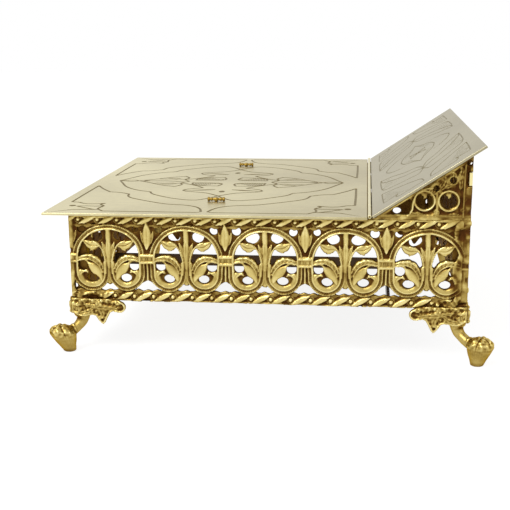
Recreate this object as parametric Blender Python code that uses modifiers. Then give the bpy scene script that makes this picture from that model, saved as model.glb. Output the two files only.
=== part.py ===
"""Brass photo album stand: an openwork cast box frame on four splayed feet, a flat engraved main
plate, and a head plate on a long barrel hinge that rests inclined on shaped risers.

Metres, +Z up. X runs along the stand towards the head plate, Y across it, and the origin is the
middle of the footprint at the level of the foot soles.
"""

import bpy
import bmesh
from math import cos, pi, radians, sin, tan
from mathutils import Matrix

# ---------------------------------------------------------------- driving dimensions
MAIN_LENGTH = 0.2184        # main plate along X
HEAD_LENGTH = 0.0847        # head plate along its own slope
PLATE_DEPTH = 0.2800        # both plates along Y
PLATE_THICKNESS = 0.0016
HEAD_ANGLE = radians(33.3)  # rest slope of the head plate

MAIN_OVERHANG = 0.0164      # main plate beyond the left end of the frame
RISER_REACH = 0.0653        # hinge axis to the right end of the frame
EDGE_OVERHANG = 0.0054      # plates beyond the front and rear of the frame
FRIEZE_HEIGHT = 0.0604
PANEL_THICKNESS = 0.0034
ARCH_COUNT = 5

ROPE_BAND = 0.0070          # solid band under the top rope and under the bottom rope
ARCH_RAIL = 0.0040          # width of the arch moulding
ARCH_SPRING = 0.0310        # height of the arch centre above the frame's lower edge
STEM_HALF = 0.0022          # half width of the central stem
LOOP_HEIGHT = 0.0204        # height of the scroll centre above the frame's lower edge
LOOP_OFFSET = 0.0122        # scroll centre to stem
LOOP_RADIUS = 0.0120
SCROLL_HOLE = 0.0035        # radius of the two eyes in each scroll
BUD_HALF = 0.0026           # half width of the bud between two arches
SMALL_GAP_HALF = 0.0042     # half width of the small openings above the bottom rope
SMALL_GAP_HEIGHT = 0.0056

RISER_END_MARGIN = 0.0146   # frame's right end to the last ring centre
RISER_RING_PITCH = 0.0155
RISER_RING_Z = 0.0104       # ring centres above the main plate
RISER_RING_HOLE = 0.0050
RISER_BAY = 0.0122          # open bay beside the first ring
RISER_STRIP = 0.0030        # sloping strip above the openings
RISER_SILL = 0.0030         # strip under the bay
END_RING_COUNT = 9
END_RING_HOLE = 0.0070

HINGE_RADIUS = 0.0012
HINGE_RISE = 0.0004         # hinge axis above the top face of the main plate
HINGE_PIN_RADIUS = 0.0005
HINGE_BORE_CLEARANCE = 0.0001
KNUCKLE_COUNT = 7
LEAF_WIDTH = 0.0120
LEAF_THICKNESS = 0.0008

POST_SIDE = 0.0070
FOOT_HEIGHT = 0.0357
FOOT_REACH = 0.0060         # paw centre beyond the frame corner along X and along Y
PAW_RADIUS = 0.0086
SOLE_RADIUS = 0.0042
PAW_HEIGHT = 0.0195
ANKLE_RADIUS = 0.0034
BRACKET_LENGTH = 0.0380
BRACKET_DROP = 0.0165
BRACKET_THICKNESS = 0.0030
STUD_RADIUS = 0.0017
STUD_LENGTH = 0.0080

RIVET_SHANK = 0.0012
RIVET_HEAD = 0.0023
RIVET_HEAD_HEIGHT = 0.0011
RIVET_DEPTH = 0.0030        # shank length inside the post

BAR_HEIGHT = 0.0086
BAR_THICKNESS = 0.0020
BAR_Y = -0.0280             # lengthwise tie bar
CROSS_BAR_X = 0.0135        # cross bar beyond the hinge axis

CATCH_LENGTH = 0.0126
CATCH_RADIUS = 0.0018
CATCH_STEM_RADIUS = 0.0010
CATCH_INSET = 0.0520        # catch centre to the plate's front or rear edge
CATCH_SHARE = 0.49          # catch centre along the main plate
WASHER_RADIUS = 0.0030
WASHER_THICKNESS = 0.0008

RISER_PIN_RADIUS = 0.0013
RISER_PIN_LENGTH = 0.0084   # upright barrel in the risers' outer corner
RISER_PIN_DROP = 0.0115     # top of the risers' outer corner to the barrel
GAP = 0.0003                # gap between touching pieces

# ---------------------------------------------------------------- derived places
HINGE_CLEARANCE = HINGE_RADIUS + GAP
FRAME_DEPTH = PLATE_DEPTH - 2 * EDGE_OVERHANG
FOOT_EXTENT = FOOT_REACH + PAW_RADIUS
PLATE_LEFT = -HINGE_CLEARANCE - MAIN_LENGTH     # measured from the hinge axis
FRAME_LEFT = PLATE_LEFT + MAIN_OVERHANG
FRAME_RIGHT = RISER_REACH
FRAME_LENGTH = FRAME_RIGHT - FRAME_LEFT
HEAD_RIGHT = (HINGE_CLEARANCE + HEAD_LENGTH) * cos(HEAD_ANGLE)
X_LOW = min(PLATE_LEFT, FRAME_LEFT - FOOT_EXTENT)
X_HIGH = max(HEAD_RIGHT, FRAME_RIGHT + FOOT_EXTENT)
HINGE_X = -(X_LOW + X_HIGH) / 2

FRAME_BOTTOM = FOOT_HEIGHT
FRAME_TOP = FRAME_BOTTOM + FRIEZE_HEIGHT
PLATE_TOP = FRAME_TOP + GAP + PLATE_THICKNESS
HINGE_Z = PLATE_TOP + HINGE_RISE
INNER_DEPTH = FRAME_DEPTH - 2 * (PANEL_THICKNESS + GAP)
HEAD_DROP = HINGE_RISE + PLATE_THICKNESS + GAP  # hinge axis to the riser's sloping edge

COLLECTION = "photo_album_stand"
CUTTERS = "cutters"


# ---------------------------------------------------------------- scene and helpers
def clear_scene():
    for obj in list(bpy.data.objects):
        bpy.data.objects.remove(obj, do_unlink=True)
    for name in (COLLECTION, CUTTERS):
        collection = bpy.data.collections.new(name)
        bpy.context.scene.collection.children.link(collection)


def material(name, colour, roughness, metallic=1.0):
    mat = bpy.data.materials.new(name)
    mat.use_nodes = True
    shader = mat.node_tree.nodes["Principled BSDF"]
    shader.inputs["Base Color"].default_value = (*colour, 1.0)
    shader.inputs["Roughness"].default_value = roughness
    shader.inputs["Metallic"].default_value = metallic
    return mat


def add(obj, colour=None, roughness=0.35):
    """Links an object into the stand and gives it its own brass."""
    bpy.data.collections[COLLECTION].objects.link(obj)
    if colour:
        obj.data.materials.clear()
        obj.data.materials.append(material(obj.name + "_brass", colour, roughness))
    return obj


def outline(name, loops, thickness):
    """Flat piece in the local XY plane: the first loop is the edge, the others are openings."""
    curve = bpy.data.curves.new(name, "CURVE")
    curve.dimensions = "2D"
    curve.fill_mode = "BOTH"
    curve.extrude = thickness / 2
    for loop in loops:
        spline = curve.splines.new("POLY")
        spline.points.add(len(loop) - 1)
        for point, (u, v) in zip(spline.points, loop):
            point.co = (u, v, 0, 1)
        spline.use_cyclic_u = True
    return bpy.data.objects.new(name, curve)


def rod(name, points, radii, resolution=2):
    """Round rod along 3D points with a radius at each."""
    curve = bpy.data.curves.new(name, "CURVE")
    curve.dimensions = "3D"
    curve.bevel_depth = 1.0
    curve.bevel_resolution = resolution
    curve.use_fill_caps = True
    spline = curve.splines.new("POLY")
    spline.points.add(len(points) - 1)
    for point, place, radius in zip(spline.points, points, radii):
        point.co = (*place, 1)
        point.radius = radius
    return bpy.data.objects.new(name, curve)


def turned(name, profile, steps=16):
    """Closed body of revolution about Z from (radius, height) pairs, listed from top to bottom."""
    mesh = bpy.data.meshes.new(name)
    mesh.from_pydata([(r, 0, z) for r, z in profile], [(i, i + 1) for i in range(len(profile) - 1)], [])
    obj = bpy.data.objects.new(name, mesh)
    screw = obj.modifiers.new("turn", "SCREW")
    screw.steps = steps
    screw.render_steps = steps
    screw.use_merge_vertices = True
    screw.merge_threshold = 0.00001
    return obj


def block(name, low, high):
    mesh = bpy.data.meshes.new(name)
    bm = bmesh.new()
    bmesh.ops.create_cube(bm, size=1.0)
    size = [h - l for l, h in zip(low, high)]
    middle = [(h + l) / 2 for l, h in zip(low, high)]
    bmesh.ops.scale(bm, vec=size, verts=bm.verts)
    bmesh.ops.translate(bm, vec=middle, verts=bm.verts)
    bm.to_mesh(mesh)
    bm.free()
    return bpy.data.objects.new(name, mesh)


def cylinder(name, radius, length, segments=12):
    """Cylinder about Z from 0 to length."""
    mesh = bpy.data.meshes.new(name)
    bm = bmesh.new()
    bmesh.ops.create_cone(bm, cap_ends=True, segments=segments, radius1=radius, radius2=radius,
                          depth=length)
    bmesh.ops.translate(bm, vec=(0, 0, length / 2), verts=bm.verts)
    bm.to_mesh(mesh)
    bm.free()
    return bpy.data.objects.new(name, mesh)


def meshed(obj, matrix=None):
    """The evaluated object as a closed mesh object, with its transform applied."""
    scene_objects = bpy.context.scene.collection.objects
    scene_objects.link(obj)
    bpy.context.view_layer.update()
    mesh = bpy.data.meshes.new_from_object(obj.evaluated_get(bpy.context.evaluated_depsgraph_get()))
    mesh.transform((matrix or Matrix.Identity(4)) @ obj.matrix_world)
    bm = bmesh.new()
    bm.from_mesh(mesh)
    bmesh.ops.remove_doubles(bm, verts=bm.verts, dist=0.000005)
    bm.to_mesh(mesh)
    bm.free()
    name = obj.name
    bpy.data.objects.remove(obj, do_unlink=True)
    mesh.name = name
    return bpy.data.objects.new(name, mesh)


def combine(base, operands, operation):
    """Base joined with, or cut by, the operands; the result is a plain mesh object."""
    cutters = bpy.data.collections[CUTTERS]
    for operand in operands:
        cutters.objects.link(operand)
        operand.hide_render = True
        operand.display_type = "WIRE"
        boolean = base.modifiers.new(operand.name, "BOOLEAN")
        boolean.operation = operation
        boolean.object = operand
        boolean.solver = "EXACT"
    result = meshed(base)
    for operand in operands:
        bpy.data.objects.remove(operand, do_unlink=True)
    return result


def arc(centre, radius, start, end, count, squash=1.0):
    """Points on an ellipse from one angle to another, in degrees."""
    points = []
    for i in range(count):
        angle = radians(start + (end - start) * i / (count - 1))
        points.append((centre[0] + radius * cos(angle), centre[1] + radius * squash * sin(angle)))
    return points


def circle(centre, radius, count=8):
    return arc(centre, radius, 0, 360 * (count - 1) / count, count)


def mirrored(loop):
    return [(-u, v) for u, v in reversed(loop)]


# ---------------------------------------------------------------- pierced frieze
def arch_openings(pitch):
    """Openings of one arch bay, with the stem at u = 0."""
    outer_half = pitch / 2 - 0.0012
    inner_half = outer_half - ARCH_RAIL
    top = FRIEZE_HEIGHT - ROPE_BAND
    outer_rise = top + 0.0006 - ARCH_SPRING
    inner_rise = outer_rise - ARCH_RAIL
    loop_centre = (LOOP_OFFSET, LOOP_HEIGHT)

    lunette = arc((0, ARCH_SPRING), inner_half, 10, 83, 5, inner_rise / inner_half)
    lunette += [(STEM_HALF, ARCH_SPRING + 0.0040)]
    lunette += arc(loop_centre, LOOP_RADIUS, 118, 48, 3)
    upper_eye = circle((LOOP_OFFSET + 0.0034, LOOP_HEIGHT + 0.0036), SCROLL_HOLE, 6)
    lower_eye = circle((LOOP_OFFSET, LOOP_HEIGHT - 0.0054), SCROLL_HOLE, 6)

    bud_edge = pitch / 2 - BUD_HALF
    spandrel = [(bud_edge, top - 0.0006), (outer_half * 0.60, top - 0.0006)]
    spandrel += arc((0, ARCH_SPRING), outer_half, 55, 33, 3, outer_rise / outer_half)
    spandrel += [(bud_edge, ARCH_SPRING + 0.62 * outer_rise)]

    base = ROPE_BAND + 0.0004
    small = [(-SMALL_GAP_HALF, base), (SMALL_GAP_HALF, base), (0, base + SMALL_GAP_HEIGHT)]
    right_half = [lunette, upper_eye, lower_eye, spandrel]
    return right_half + [mirrored(loop) for loop in right_half] + [small]


def frieze_loops(length):
    """Edge and openings of a frieze panel, its lower left corner at the origin."""
    pitch = length / ARCH_COUNT
    loops = [[(0, 0), (length, 0), (length, FRIEZE_HEIGHT), (0, FRIEZE_HEIGHT)]]
    for i in range(ARCH_COUNT):
        middle = (i + 0.5) * pitch
        loops += [[(u + middle, v) for u, v in loop] for loop in arch_openings(pitch)]
    base = ROPE_BAND + 0.0004
    for i in range(1, ARCH_COUNT):
        u = i * pitch
        loops.append([(u - SMALL_GAP_HALF, base), (u + SMALL_GAP_HALF, base),
                      (u, base + SMALL_GAP_HEIGHT)])
    return loops


def stand_up(obj, x, y, z, along_y=False):
    """Turns a flat outline upright: u runs along X, or along Y, and v runs up."""
    obj.matrix_world = (Matrix.Translation((x, y, z)) @ Matrix.Rotation(pi / 2 if along_y else 0, 4, "Z")
                        @ Matrix.Rotation(pi / 2, 4, "X"))
    return obj


RIVET_U = POST_SIDE / 2
RIVET_V = (STUD_LENGTH + 3 * RIVET_SHANK, FRIEZE_HEIGHT - ROPE_BAND / 2)
CAST = (0.72, 0.55, 0.24)


def add_long_panels():
    for name, side in (("front_panel", -1), ("rear_panel", 1)):
        y = side * (FRAME_DEPTH - PANEL_THICKNESS) / 2
        panel = outline(name, frieze_loops(FRAME_LENGTH), PANEL_THICKNESS)
        add(stand_up(panel, HINGE_X + FRAME_LEFT, y, FRAME_BOTTOM), CAST, 0.34)


def add_end_panels():
    ends = (("left_end_panel", FRAME_LEFT + PANEL_THICKNESS / 2),
            ("right_end_panel", FRAME_RIGHT - PANEL_THICKNESS / 2))
    for name, x in ends:
        loops = frieze_loops(INNER_DEPTH)
        for u in (RIVET_U, INNER_DEPTH - RIVET_U):
            loops += [circle((u, v), RIVET_SHANK + GAP) for v in RIVET_V]
        panel = outline(name, loops, PANEL_THICKNESS)
        add(stand_up(panel, HINGE_X + x, -INNER_DEPTH / 2, FRAME_BOTTOM, True), CAST, 0.34)


# ---------------------------------------------------------------- risers under the head plate
def slope_height(x):
    """Height of the risers' sloping edge above the main plate, x beyond the hinge axis."""
    return HINGE_RISE + x * tan(HEAD_ANGLE) - HEAD_DROP / cos(HEAD_ANGLE)


def riser_pin_low():
    """Lower end of the corner barrel above the main plate."""
    return slope_height(FRAME_RIGHT) - RISER_PIN_DROP - RISER_PIN_LENGTH


def riser_rings():
    """Ring centres from the right end inwards, as far as they fit under the slope."""
    places = []
    x = FRAME_RIGHT - RISER_END_MARGIN
    while slope_height(x - RISER_RING_HOLE) - RISER_STRIP > RISER_RING_Z:
        places.append(x)
        x -= RISER_RING_PITCH
    return places


def add_side_risers():
    base = -PLATE_THICKNESS
    tip = (base + 0.0015 + HEAD_DROP / cos(HEAD_ANGLE) - HINGE_RISE) / tan(HEAD_ANGLE)
    notch = FRAME_RIGHT - 2 * RISER_PIN_RADIUS - GAP
    pin_low = riser_pin_low()
    low, high = pin_low - GAP, pin_low + RISER_PIN_LENGTH + GAP
    edge = [(tip, base), (FRAME_RIGHT, base), (FRAME_RIGHT, low), (notch, low), (notch, high),
            (FRAME_RIGHT, high), (FRAME_RIGHT, slope_height(FRAME_RIGHT)), (tip, slope_height(tip))]
    sill = base + RISER_SILL
    places = riser_rings()
    bay_high = places[-1] - RISER_RING_HOLE - 0.0040
    bay_low = bay_high - RISER_BAY
    bay = [(bay_low, sill), (bay_high, sill), (bay_high, slope_height(bay_high) - RISER_STRIP),
           (bay_low, slope_height(bay_low) - RISER_STRIP)]
    rings = [circle((x, RISER_RING_Z), RISER_RING_HOLE, 10) for x in places]
    upper_x = places[0] + RISER_RING_HOLE / 2
    crown_low = RISER_RING_Z + RISER_RING_HOLE + RISER_STRIP
    crown_high = slope_height(upper_x) - RISER_STRIP
    upper = circle((upper_x, (crown_low + crown_high) / 2), 0.22 * (crown_high - crown_low), 8)
    slot = arc((FRAME_RIGHT - 0.0022, slope_height(FRAME_RIGHT) - 0.0055), 0.0012, 0, 315, 8, 0.6)
    for name, side in (("front_riser", -1), ("rear_riser", 1)):
        y = side * (FRAME_DEPTH - PANEL_THICKNESS) / 2
        riser = outline(name, [edge, bay, *rings, upper, slot], PANEL_THICKNESS)
        add(stand_up(riser, HINGE_X, y, PLATE_TOP), CAST, 0.34)


def add_end_riser():
    """Tall openwork wall across the right end, under the free part of the head plate."""
    base = -PLATE_THICKNESS
    top = slope_height(FRAME_RIGHT - PANEL_THICKNESS)
    edge = [(0, base), (INNER_DEPTH, base), (INNER_DEPTH, top), (0, top)]
    pitch = INNER_DEPTH / END_RING_COUNT
    loops = [edge]
    for i in range(END_RING_COUNT):
        middle = (i + 0.5) * pitch
        loops.append(circle((middle, RISER_RING_Z), END_RING_HOLE, 8))
        crown = RISER_RING_Z + END_RING_HOLE + 0.0045
        loops.append([(middle - 0.0060, crown), (middle + 0.0060, crown), (middle, top - 0.0050)])
    wall = outline("right_end_riser", loops, PANEL_THICKNESS)
    x = HINGE_X + FRAME_RIGHT - PANEL_THICKNESS / 2
    add(stand_up(wall, x, -INNER_DEPTH / 2, PLATE_TOP, True), CAST, 0.34)


def add_riser_pins():
    """Short upright barrels let into the outer corners of the two side risers."""
    for name, side in (("riser_pin_front", -1), ("riser_pin_rear", 1)):
        pin = cylinder(name, RISER_PIN_RADIUS, RISER_PIN_LENGTH, 10)
        pin.location = (HINGE_X + FRAME_RIGHT - RISER_PIN_RADIUS,
                        side * (FRAME_DEPTH - PANEL_THICKNESS) / 2, PLATE_TOP + riser_pin_low())
        add(pin, (0.86, 0.74, 0.42), 0.22)


# ---------------------------------------------------------------- plates
def catch_places():
    """Name ending and plan place of the two catches."""
    x = HINGE_X - HINGE_CLEARANCE - CATCH_SHARE * MAIN_LENGTH
    y = PLATE_DEPTH / 2 - CATCH_INSET
    return (("front", x, -y), ("rear", x, y))


def add_main_plate():
    low = HINGE_X + PLATE_LEFT
    high = HINGE_X - HINGE_CLEARANCE
    half = PLATE_DEPTH / 2
    loops = [[(low, -half), (high, -half), (high, half), (low, half)]]
    loops += [circle((x, y), CATCH_STEM_RADIUS + GAP) for _, x, y in catch_places()]
    plate = outline("main_plate", loops, PLATE_THICKNESS)
    plate.location.z = PLATE_TOP - PLATE_THICKNESS / 2
    add(plate, (0.80, 0.74, 0.55), 0.28)


def on_hinge(obj, angle):
    """Places a piece modelled about the hinge line, swung up by the angle."""
    obj.matrix_world = (Matrix.Translation((HINGE_X, 0, HINGE_Z))
                        @ Matrix.Rotation(-angle, 4, "Y"))
    return obj


def add_head_plate():
    low = HINGE_CLEARANCE
    half = PLATE_DEPTH / 2
    top = -HINGE_RISE
    plate = block("head_plate", (low, -half, top - PLATE_THICKNESS), (low + HEAD_LENGTH, half, top))
    add(on_hinge(plate, HEAD_ANGLE), (0.76, 0.72, 0.58), 0.30)


# ---------------------------------------------------------------- barrel hinge
def knuckle_spans(parity):
    """Start and end along Y of every second knuckle."""
    pitch = PLATE_DEPTH / KNUCKLE_COUNT
    spans = []
    for i in range(parity, KNUCKLE_COUNT, 2):
        low = -PLATE_DEPTH / 2 + i * pitch
        spans.append((low + GAP / 2, low + pitch - GAP / 2))
    return spans


def hinge_leaf(name, side, parity):
    """Leaf under a plate with its knuckles, modelled about the hinge line; side is -1 or 1."""
    top = -HINGE_RISE - PLATE_THICKNESS - GAP
    bottom = top - LEAF_THICKNESS
    half = INNER_DEPTH / 2 - GAP - POST_SIDE
    across = sorted((side * 0.0002, side * (HINGE_CLEARANCE + LEAF_WIDTH)))
    leaf = block(name, (across[0], -half, bottom), (across[1], half, top))
    joined, webs = [], []
    web_across = sorted((side * 0.0002, side * (HINGE_RADIUS - 0.0002)))
    for low, high in knuckle_spans(parity):
        inner = (max(low, -half + 0.0005), min(high, half - 0.0005))
        webs.append(block("web", (web_across[0], inner[0], bottom + 0.0002),
                          (web_across[1], inner[1], -HINGE_PIN_RADIUS - 0.0003)))
        knuckle = cylinder("knuckle", HINGE_RADIUS, high - low, 12)
        turn = Matrix.Translation((0, low, 0)) @ Matrix.Rotation(-pi / 2, 4, "X")
        joined.append(meshed(knuckle, turn))
    leaf = combine(leaf, joined + webs, "UNION")
    bore = cylinder("bore", HINGE_PIN_RADIUS + HINGE_BORE_CLEARANCE, PLATE_DEPTH + 0.01, 12)
    turn = Matrix.Translation((0, -PLATE_DEPTH / 2 - 0.005, 0)) @ Matrix.Rotation(-pi / 2, 4, "X")
    reliefs = [block("relief", (-HINGE_CLEARANCE, low - GAP / 2, bottom - 0.001),
                     (HINGE_CLEARANCE, high + GAP / 2, HINGE_CLEARANCE))
               for low, high in knuckle_spans(1 - parity)]
    return combine(leaf, [meshed(bore, turn)] + reliefs, "DIFFERENCE")


def add_hinge():
    add(on_hinge(hinge_leaf("hinge_leaf_main", -1, 0), 0), (0.84, 0.78, 0.55), 0.25)
    add(on_hinge(hinge_leaf("hinge_leaf_head", 1, 1), HEAD_ANGLE), (0.84, 0.78, 0.55), 0.25)
    pin = cylinder("hinge_pin", HINGE_PIN_RADIUS, PLATE_DEPTH - 2 * GAP, 12)
    pin.matrix_world = (Matrix.Translation((HINGE_X, -PLATE_DEPTH / 2 + GAP, HINGE_Z))
                        @ Matrix.Rotation(-pi / 2, 4, "X"))
    add(pin, (0.60, 0.48, 0.25), 0.35)


# ---------------------------------------------------------------- feet and posts
CORNERS = (("front_left", 0), ("front_right", 90), ("rear_right", 180), ("rear_left", 270))


def corner_matrix(turn):
    """Frame corner at the frame's lower edge; local -X and -Y point out of the stand."""
    left = turn in (0, 270)
    front = turn in (0, 90)
    x = HINGE_X + (FRAME_LEFT if left else FRAME_RIGHT)
    y = -FRAME_DEPTH / 2 if front else FRAME_DEPTH / 2
    return Matrix.Translation((x, y, FRAME_BOTTOM)) @ Matrix.Rotation(radians(turn), 4, "Z")


def bracket_outline():
    """Leafy side bracket under the frieze: corner lobe, pointed lobe, round end lobe."""
    end = 0.0045
    edge = [(0, -GAP), (0, -0.0100)]
    edge += arc((0.0085, -0.0085), 0.0055, 200, 310, 4)
    edge += [(BRACKET_LENGTH * 0.45, -0.0125), (BRACKET_LENGTH * 0.56, -BRACKET_DROP),
             (BRACKET_LENGTH * 0.68, -0.0100)]
    edge += arc((BRACKET_LENGTH - end, -end - GAP), end, -100, 60, 5)
    edge += [(BRACKET_LENGTH - end, -GAP)]
    return edge


def foot_mesh():
    """One splayed cabriole foot, modelled about the frame corner, symmetric across the diagonal."""
    along_x = meshed(stand_up(outline("bracket_x", [bracket_outline()], BRACKET_THICKNESS),
                              0, BRACKET_THICKNESS / 2, 0))
    swap = Matrix(((0, 1, 0, 0), (1, 0, 0, 0), (0, 0, 1, 0), (0, 0, 0, 1)))
    along_y = along_x.copy()
    along_y.data = along_x.data.copy()
    along_y.data.transform(swap)
    along_y.data.flip_normals()

    knee = ((0.0060, -0.0070), (0.0068, -0.0115), (0.0055, -0.0160), (0.0030, -0.0205),
            (-0.0010, -0.0240), (-0.0050, -0.0262))
    radii = (0.0056, 0.0054, 0.0046, ANKLE_RADIUS, ANKLE_RADIUS + 0.0006, ANKLE_RADIUS)
    leg = meshed(rod("leg", [(o, o, z) for o, z in knee], radii, 2))

    low = -FOOT_HEIGHT
    crown = low + PAW_HEIGHT
    profile = [(0, crown), (0.62 * PAW_RADIUS, crown - 0.0008), (0.93 * PAW_RADIUS, crown - 0.0026),
               (PAW_RADIUS, crown - 0.0052), (0.86 * PAW_RADIUS, low + 0.0088),
               (0.66 * PAW_RADIUS, low + 0.0038), (SOLE_RADIUS, low), (0, low)]
    paw = meshed(turned("paw", profile, 16), Matrix.Translation((-FOOT_REACH, -FOOT_REACH, 0)))

    post = PANEL_THICKNESS + GAP + POST_SIDE / 2
    pad = block("pad", (0.0010, 0.0010, -0.0090), (post + 0.0045, post + 0.0045, -GAP))
    stud = cylinder("stud", STUD_RADIUS, STUD_LENGTH + 0.002, 10)
    stud = meshed(stud, Matrix.Translation((post, post, -0.002)))
    return combine(pad, [along_x, along_y, leg, paw, stud], "UNION").data


def add_feet():
    mesh = foot_mesh()
    for corner, turn in CORNERS:
        foot = bpy.data.objects.new("foot_" + corner, mesh.copy())
        foot.matrix_world = corner_matrix(turn)
        add(foot, (0.70, 0.52, 0.20), 0.33)


def post_mesh():
    """Square corner post with a stud bore below and two rivet bores on each panel side."""
    start = PANEL_THICKNESS + GAP
    end = start + POST_SIDE
    middle = (start + end) / 2
    post = block("post", (start, start, 0.0), (end, end, FRIEZE_HEIGHT))
    bores = [meshed(cylinder("stud_bore", STUD_RADIUS + GAP, STUD_LENGTH + 0.0015, 10),
                    Matrix.Translation((middle, middle, -0.001)))]
    for name, turn in (("bore_x", Matrix.Rotation(pi / 2, 4, "Y")),
                       ("bore_y", Matrix.Rotation(-pi / 2, 4, "X"))):
        for v in RIVET_V:
            place = (start - 0.001, middle, v) if name == "bore_x" else (middle, start - 0.001, v)
            bore = cylinder(name, RIVET_SHANK + GAP, RIVET_DEPTH + 0.001 + GAP, 8)
            bores.append(meshed(bore, Matrix.Translation(place) @ turn))
    return combine(post, bores, "DIFFERENCE").data


def add_posts():
    mesh = post_mesh()
    for corner, turn in CORNERS:
        post = bpy.data.objects.new("post_" + corner, mesh.copy())
        post.matrix_world = corner_matrix(turn)
        add(post, (0.66, 0.52, 0.26), 0.40)


def add_rivets():
    """Domed rivets that hold the end panels to the posts."""
    length = PANEL_THICKNESS + GAP + RIVET_DEPTH
    dome = GAP + RIVET_HEAD_HEIGHT
    profile = [(0, dome), (0.7 * RIVET_HEAD, 0.75 * dome), (RIVET_HEAD, GAP), (RIVET_SHANK, GAP),
               (RIVET_SHANK, -length), (0, -length)]
    y = INNER_DEPTH / 2 - RIVET_U
    for end, x, turn in (("left", FRAME_LEFT, -pi / 2), ("right", FRAME_RIGHT, pi / 2)):
        for row, v in zip(("low", "high"), RIVET_V):
            for side, sign in (("front", -1), ("rear", 1)):
                rivet = turned(f"rivet_{end}_{side}_{row}", profile, 8)
                rivet.matrix_world = (Matrix.Translation((HINGE_X + x, sign * y, FRAME_BOTTOM + v))
                                      @ Matrix.Rotation(turn, 4, "Y"))
                add(rivet, (0.74, 0.58, 0.28), 0.30)


# ---------------------------------------------------------------- tie bars and catches
def add_bars():
    half_bar = BAR_THICKNESS / 2
    cross_x = HINGE_X + CROSS_BAR_X
    inner = INNER_DEPTH / 2
    cross = block("cross_bar", (cross_x - half_bar, -inner, FRAME_BOTTOM),
                  (cross_x + half_bar, inner, FRAME_BOTTOM + BAR_HEIGHT))
    add(cross, (0.20, 0.14, 0.07), 0.55)
    left = HINGE_X + FRAME_LEFT + PANEL_THICKNESS + GAP
    tie = block("tie_bar", (left, BAR_Y - half_bar, FRAME_BOTTOM),
                (cross_x - half_bar - GAP, BAR_Y + half_bar, FRAME_BOTTOM + BAR_HEIGHT))
    add(tie, (0.20, 0.14, 0.07), 0.55)


def catch_mesh():
    """Turned bar with thick ends and a middle bead, on an upright stem."""
    half = CATCH_LENGTH / 2
    waist = 0.5 * CATCH_RADIUS
    knobs = [(0, half), (0.75 * CATCH_RADIUS, half), (CATCH_RADIUS, 0.86 * half),
             (CATCH_RADIUS, 0.66 * half), (waist, 0.52 * half), (waist, 0.26 * half),
             (0.8 * CATCH_RADIUS, 0)]
    profile = knobs + [(r, -z) for r, z in reversed(knobs[:-1])]
    turn = Matrix.Translation((0, 0, CATCH_RADIUS + GAP)) @ Matrix.Rotation(pi / 2, 4, "Y")
    bar = meshed(turned("catch", profile, 10), turn)
    drop = PLATE_THICKNESS + GAP + WASHER_THICKNESS
    stem = cylinder("stem", CATCH_STEM_RADIUS, drop + GAP + CATCH_RADIUS, 10)
    stem = meshed(stem, Matrix.Translation((0, 0, -drop)))
    return combine(bar, [stem], "UNION").data


def add_catches():
    mesh = catch_mesh()
    for ending, x, y in catch_places():
        catch = bpy.data.objects.new("catch_" + ending, mesh.copy())
        catch.location = (x, y, PLATE_TOP)
        add(catch, (0.62, 0.42, 0.10), 0.25)
        top = PLATE_TOP - PLATE_THICKNESS - GAP
        bore = CATCH_STEM_RADIUS + GAP
        loops = [circle((x, y), WASHER_RADIUS, 12), circle((x, y), bore, 8)]
        washer = outline("catch_washer_" + ending, loops, WASHER_THICKNESS)
        washer.location.z = top - WASHER_THICKNESS / 2
        add(washer, (0.60, 0.46, 0.20), 0.35)


def main():
    clear_scene()
    add_long_panels()
    add_end_panels()
    add_side_risers()
    add_end_riser()
    add_riser_pins()
    add_main_plate()
    add_head_plate()
    add_hinge()
    add_feet()
    add_posts()
    add_rivets()
    add_bars()
    add_catches()


main()
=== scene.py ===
"""Looks of a brass photo album stand: cast openwork frame, engraved plates, feet, hinge and catches.

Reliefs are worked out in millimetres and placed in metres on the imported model.
"""

import math

import bmesh
import bpy
import numpy as np
from mathutils import Matrix, Vector, noise
from mathutils.geometry import delaunay_2d_cdt


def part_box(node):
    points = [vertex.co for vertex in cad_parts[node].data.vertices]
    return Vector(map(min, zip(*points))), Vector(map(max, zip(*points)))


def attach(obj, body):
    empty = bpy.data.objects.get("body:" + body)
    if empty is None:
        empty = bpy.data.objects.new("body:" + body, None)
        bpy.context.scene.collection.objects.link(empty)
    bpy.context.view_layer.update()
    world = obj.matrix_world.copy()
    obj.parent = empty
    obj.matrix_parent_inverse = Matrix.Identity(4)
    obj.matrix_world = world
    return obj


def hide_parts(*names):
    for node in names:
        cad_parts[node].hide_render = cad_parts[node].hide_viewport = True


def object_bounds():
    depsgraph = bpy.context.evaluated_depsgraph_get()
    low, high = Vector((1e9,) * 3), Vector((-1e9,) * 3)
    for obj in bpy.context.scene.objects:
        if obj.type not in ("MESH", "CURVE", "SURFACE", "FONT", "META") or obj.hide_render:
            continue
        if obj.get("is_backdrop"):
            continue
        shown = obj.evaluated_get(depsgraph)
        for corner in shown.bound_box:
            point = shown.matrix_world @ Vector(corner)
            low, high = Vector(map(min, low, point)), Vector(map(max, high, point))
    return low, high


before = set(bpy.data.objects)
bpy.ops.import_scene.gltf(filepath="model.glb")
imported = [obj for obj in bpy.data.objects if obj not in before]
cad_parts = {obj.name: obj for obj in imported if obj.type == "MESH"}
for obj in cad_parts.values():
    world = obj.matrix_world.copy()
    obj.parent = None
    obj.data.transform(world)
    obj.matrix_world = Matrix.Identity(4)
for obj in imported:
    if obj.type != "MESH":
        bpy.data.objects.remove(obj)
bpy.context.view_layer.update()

bl_info = {
    "name": "Photo album stand",
    "version": (1, 0, 0),
    "blender": (4, 5, 0),
    "location": "3D View > Sidebar > Album stand",
    "description": "Detailed pieces and materials of a brass photo album stand",
    "category": "Object",
}

MM = 0.001
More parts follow.
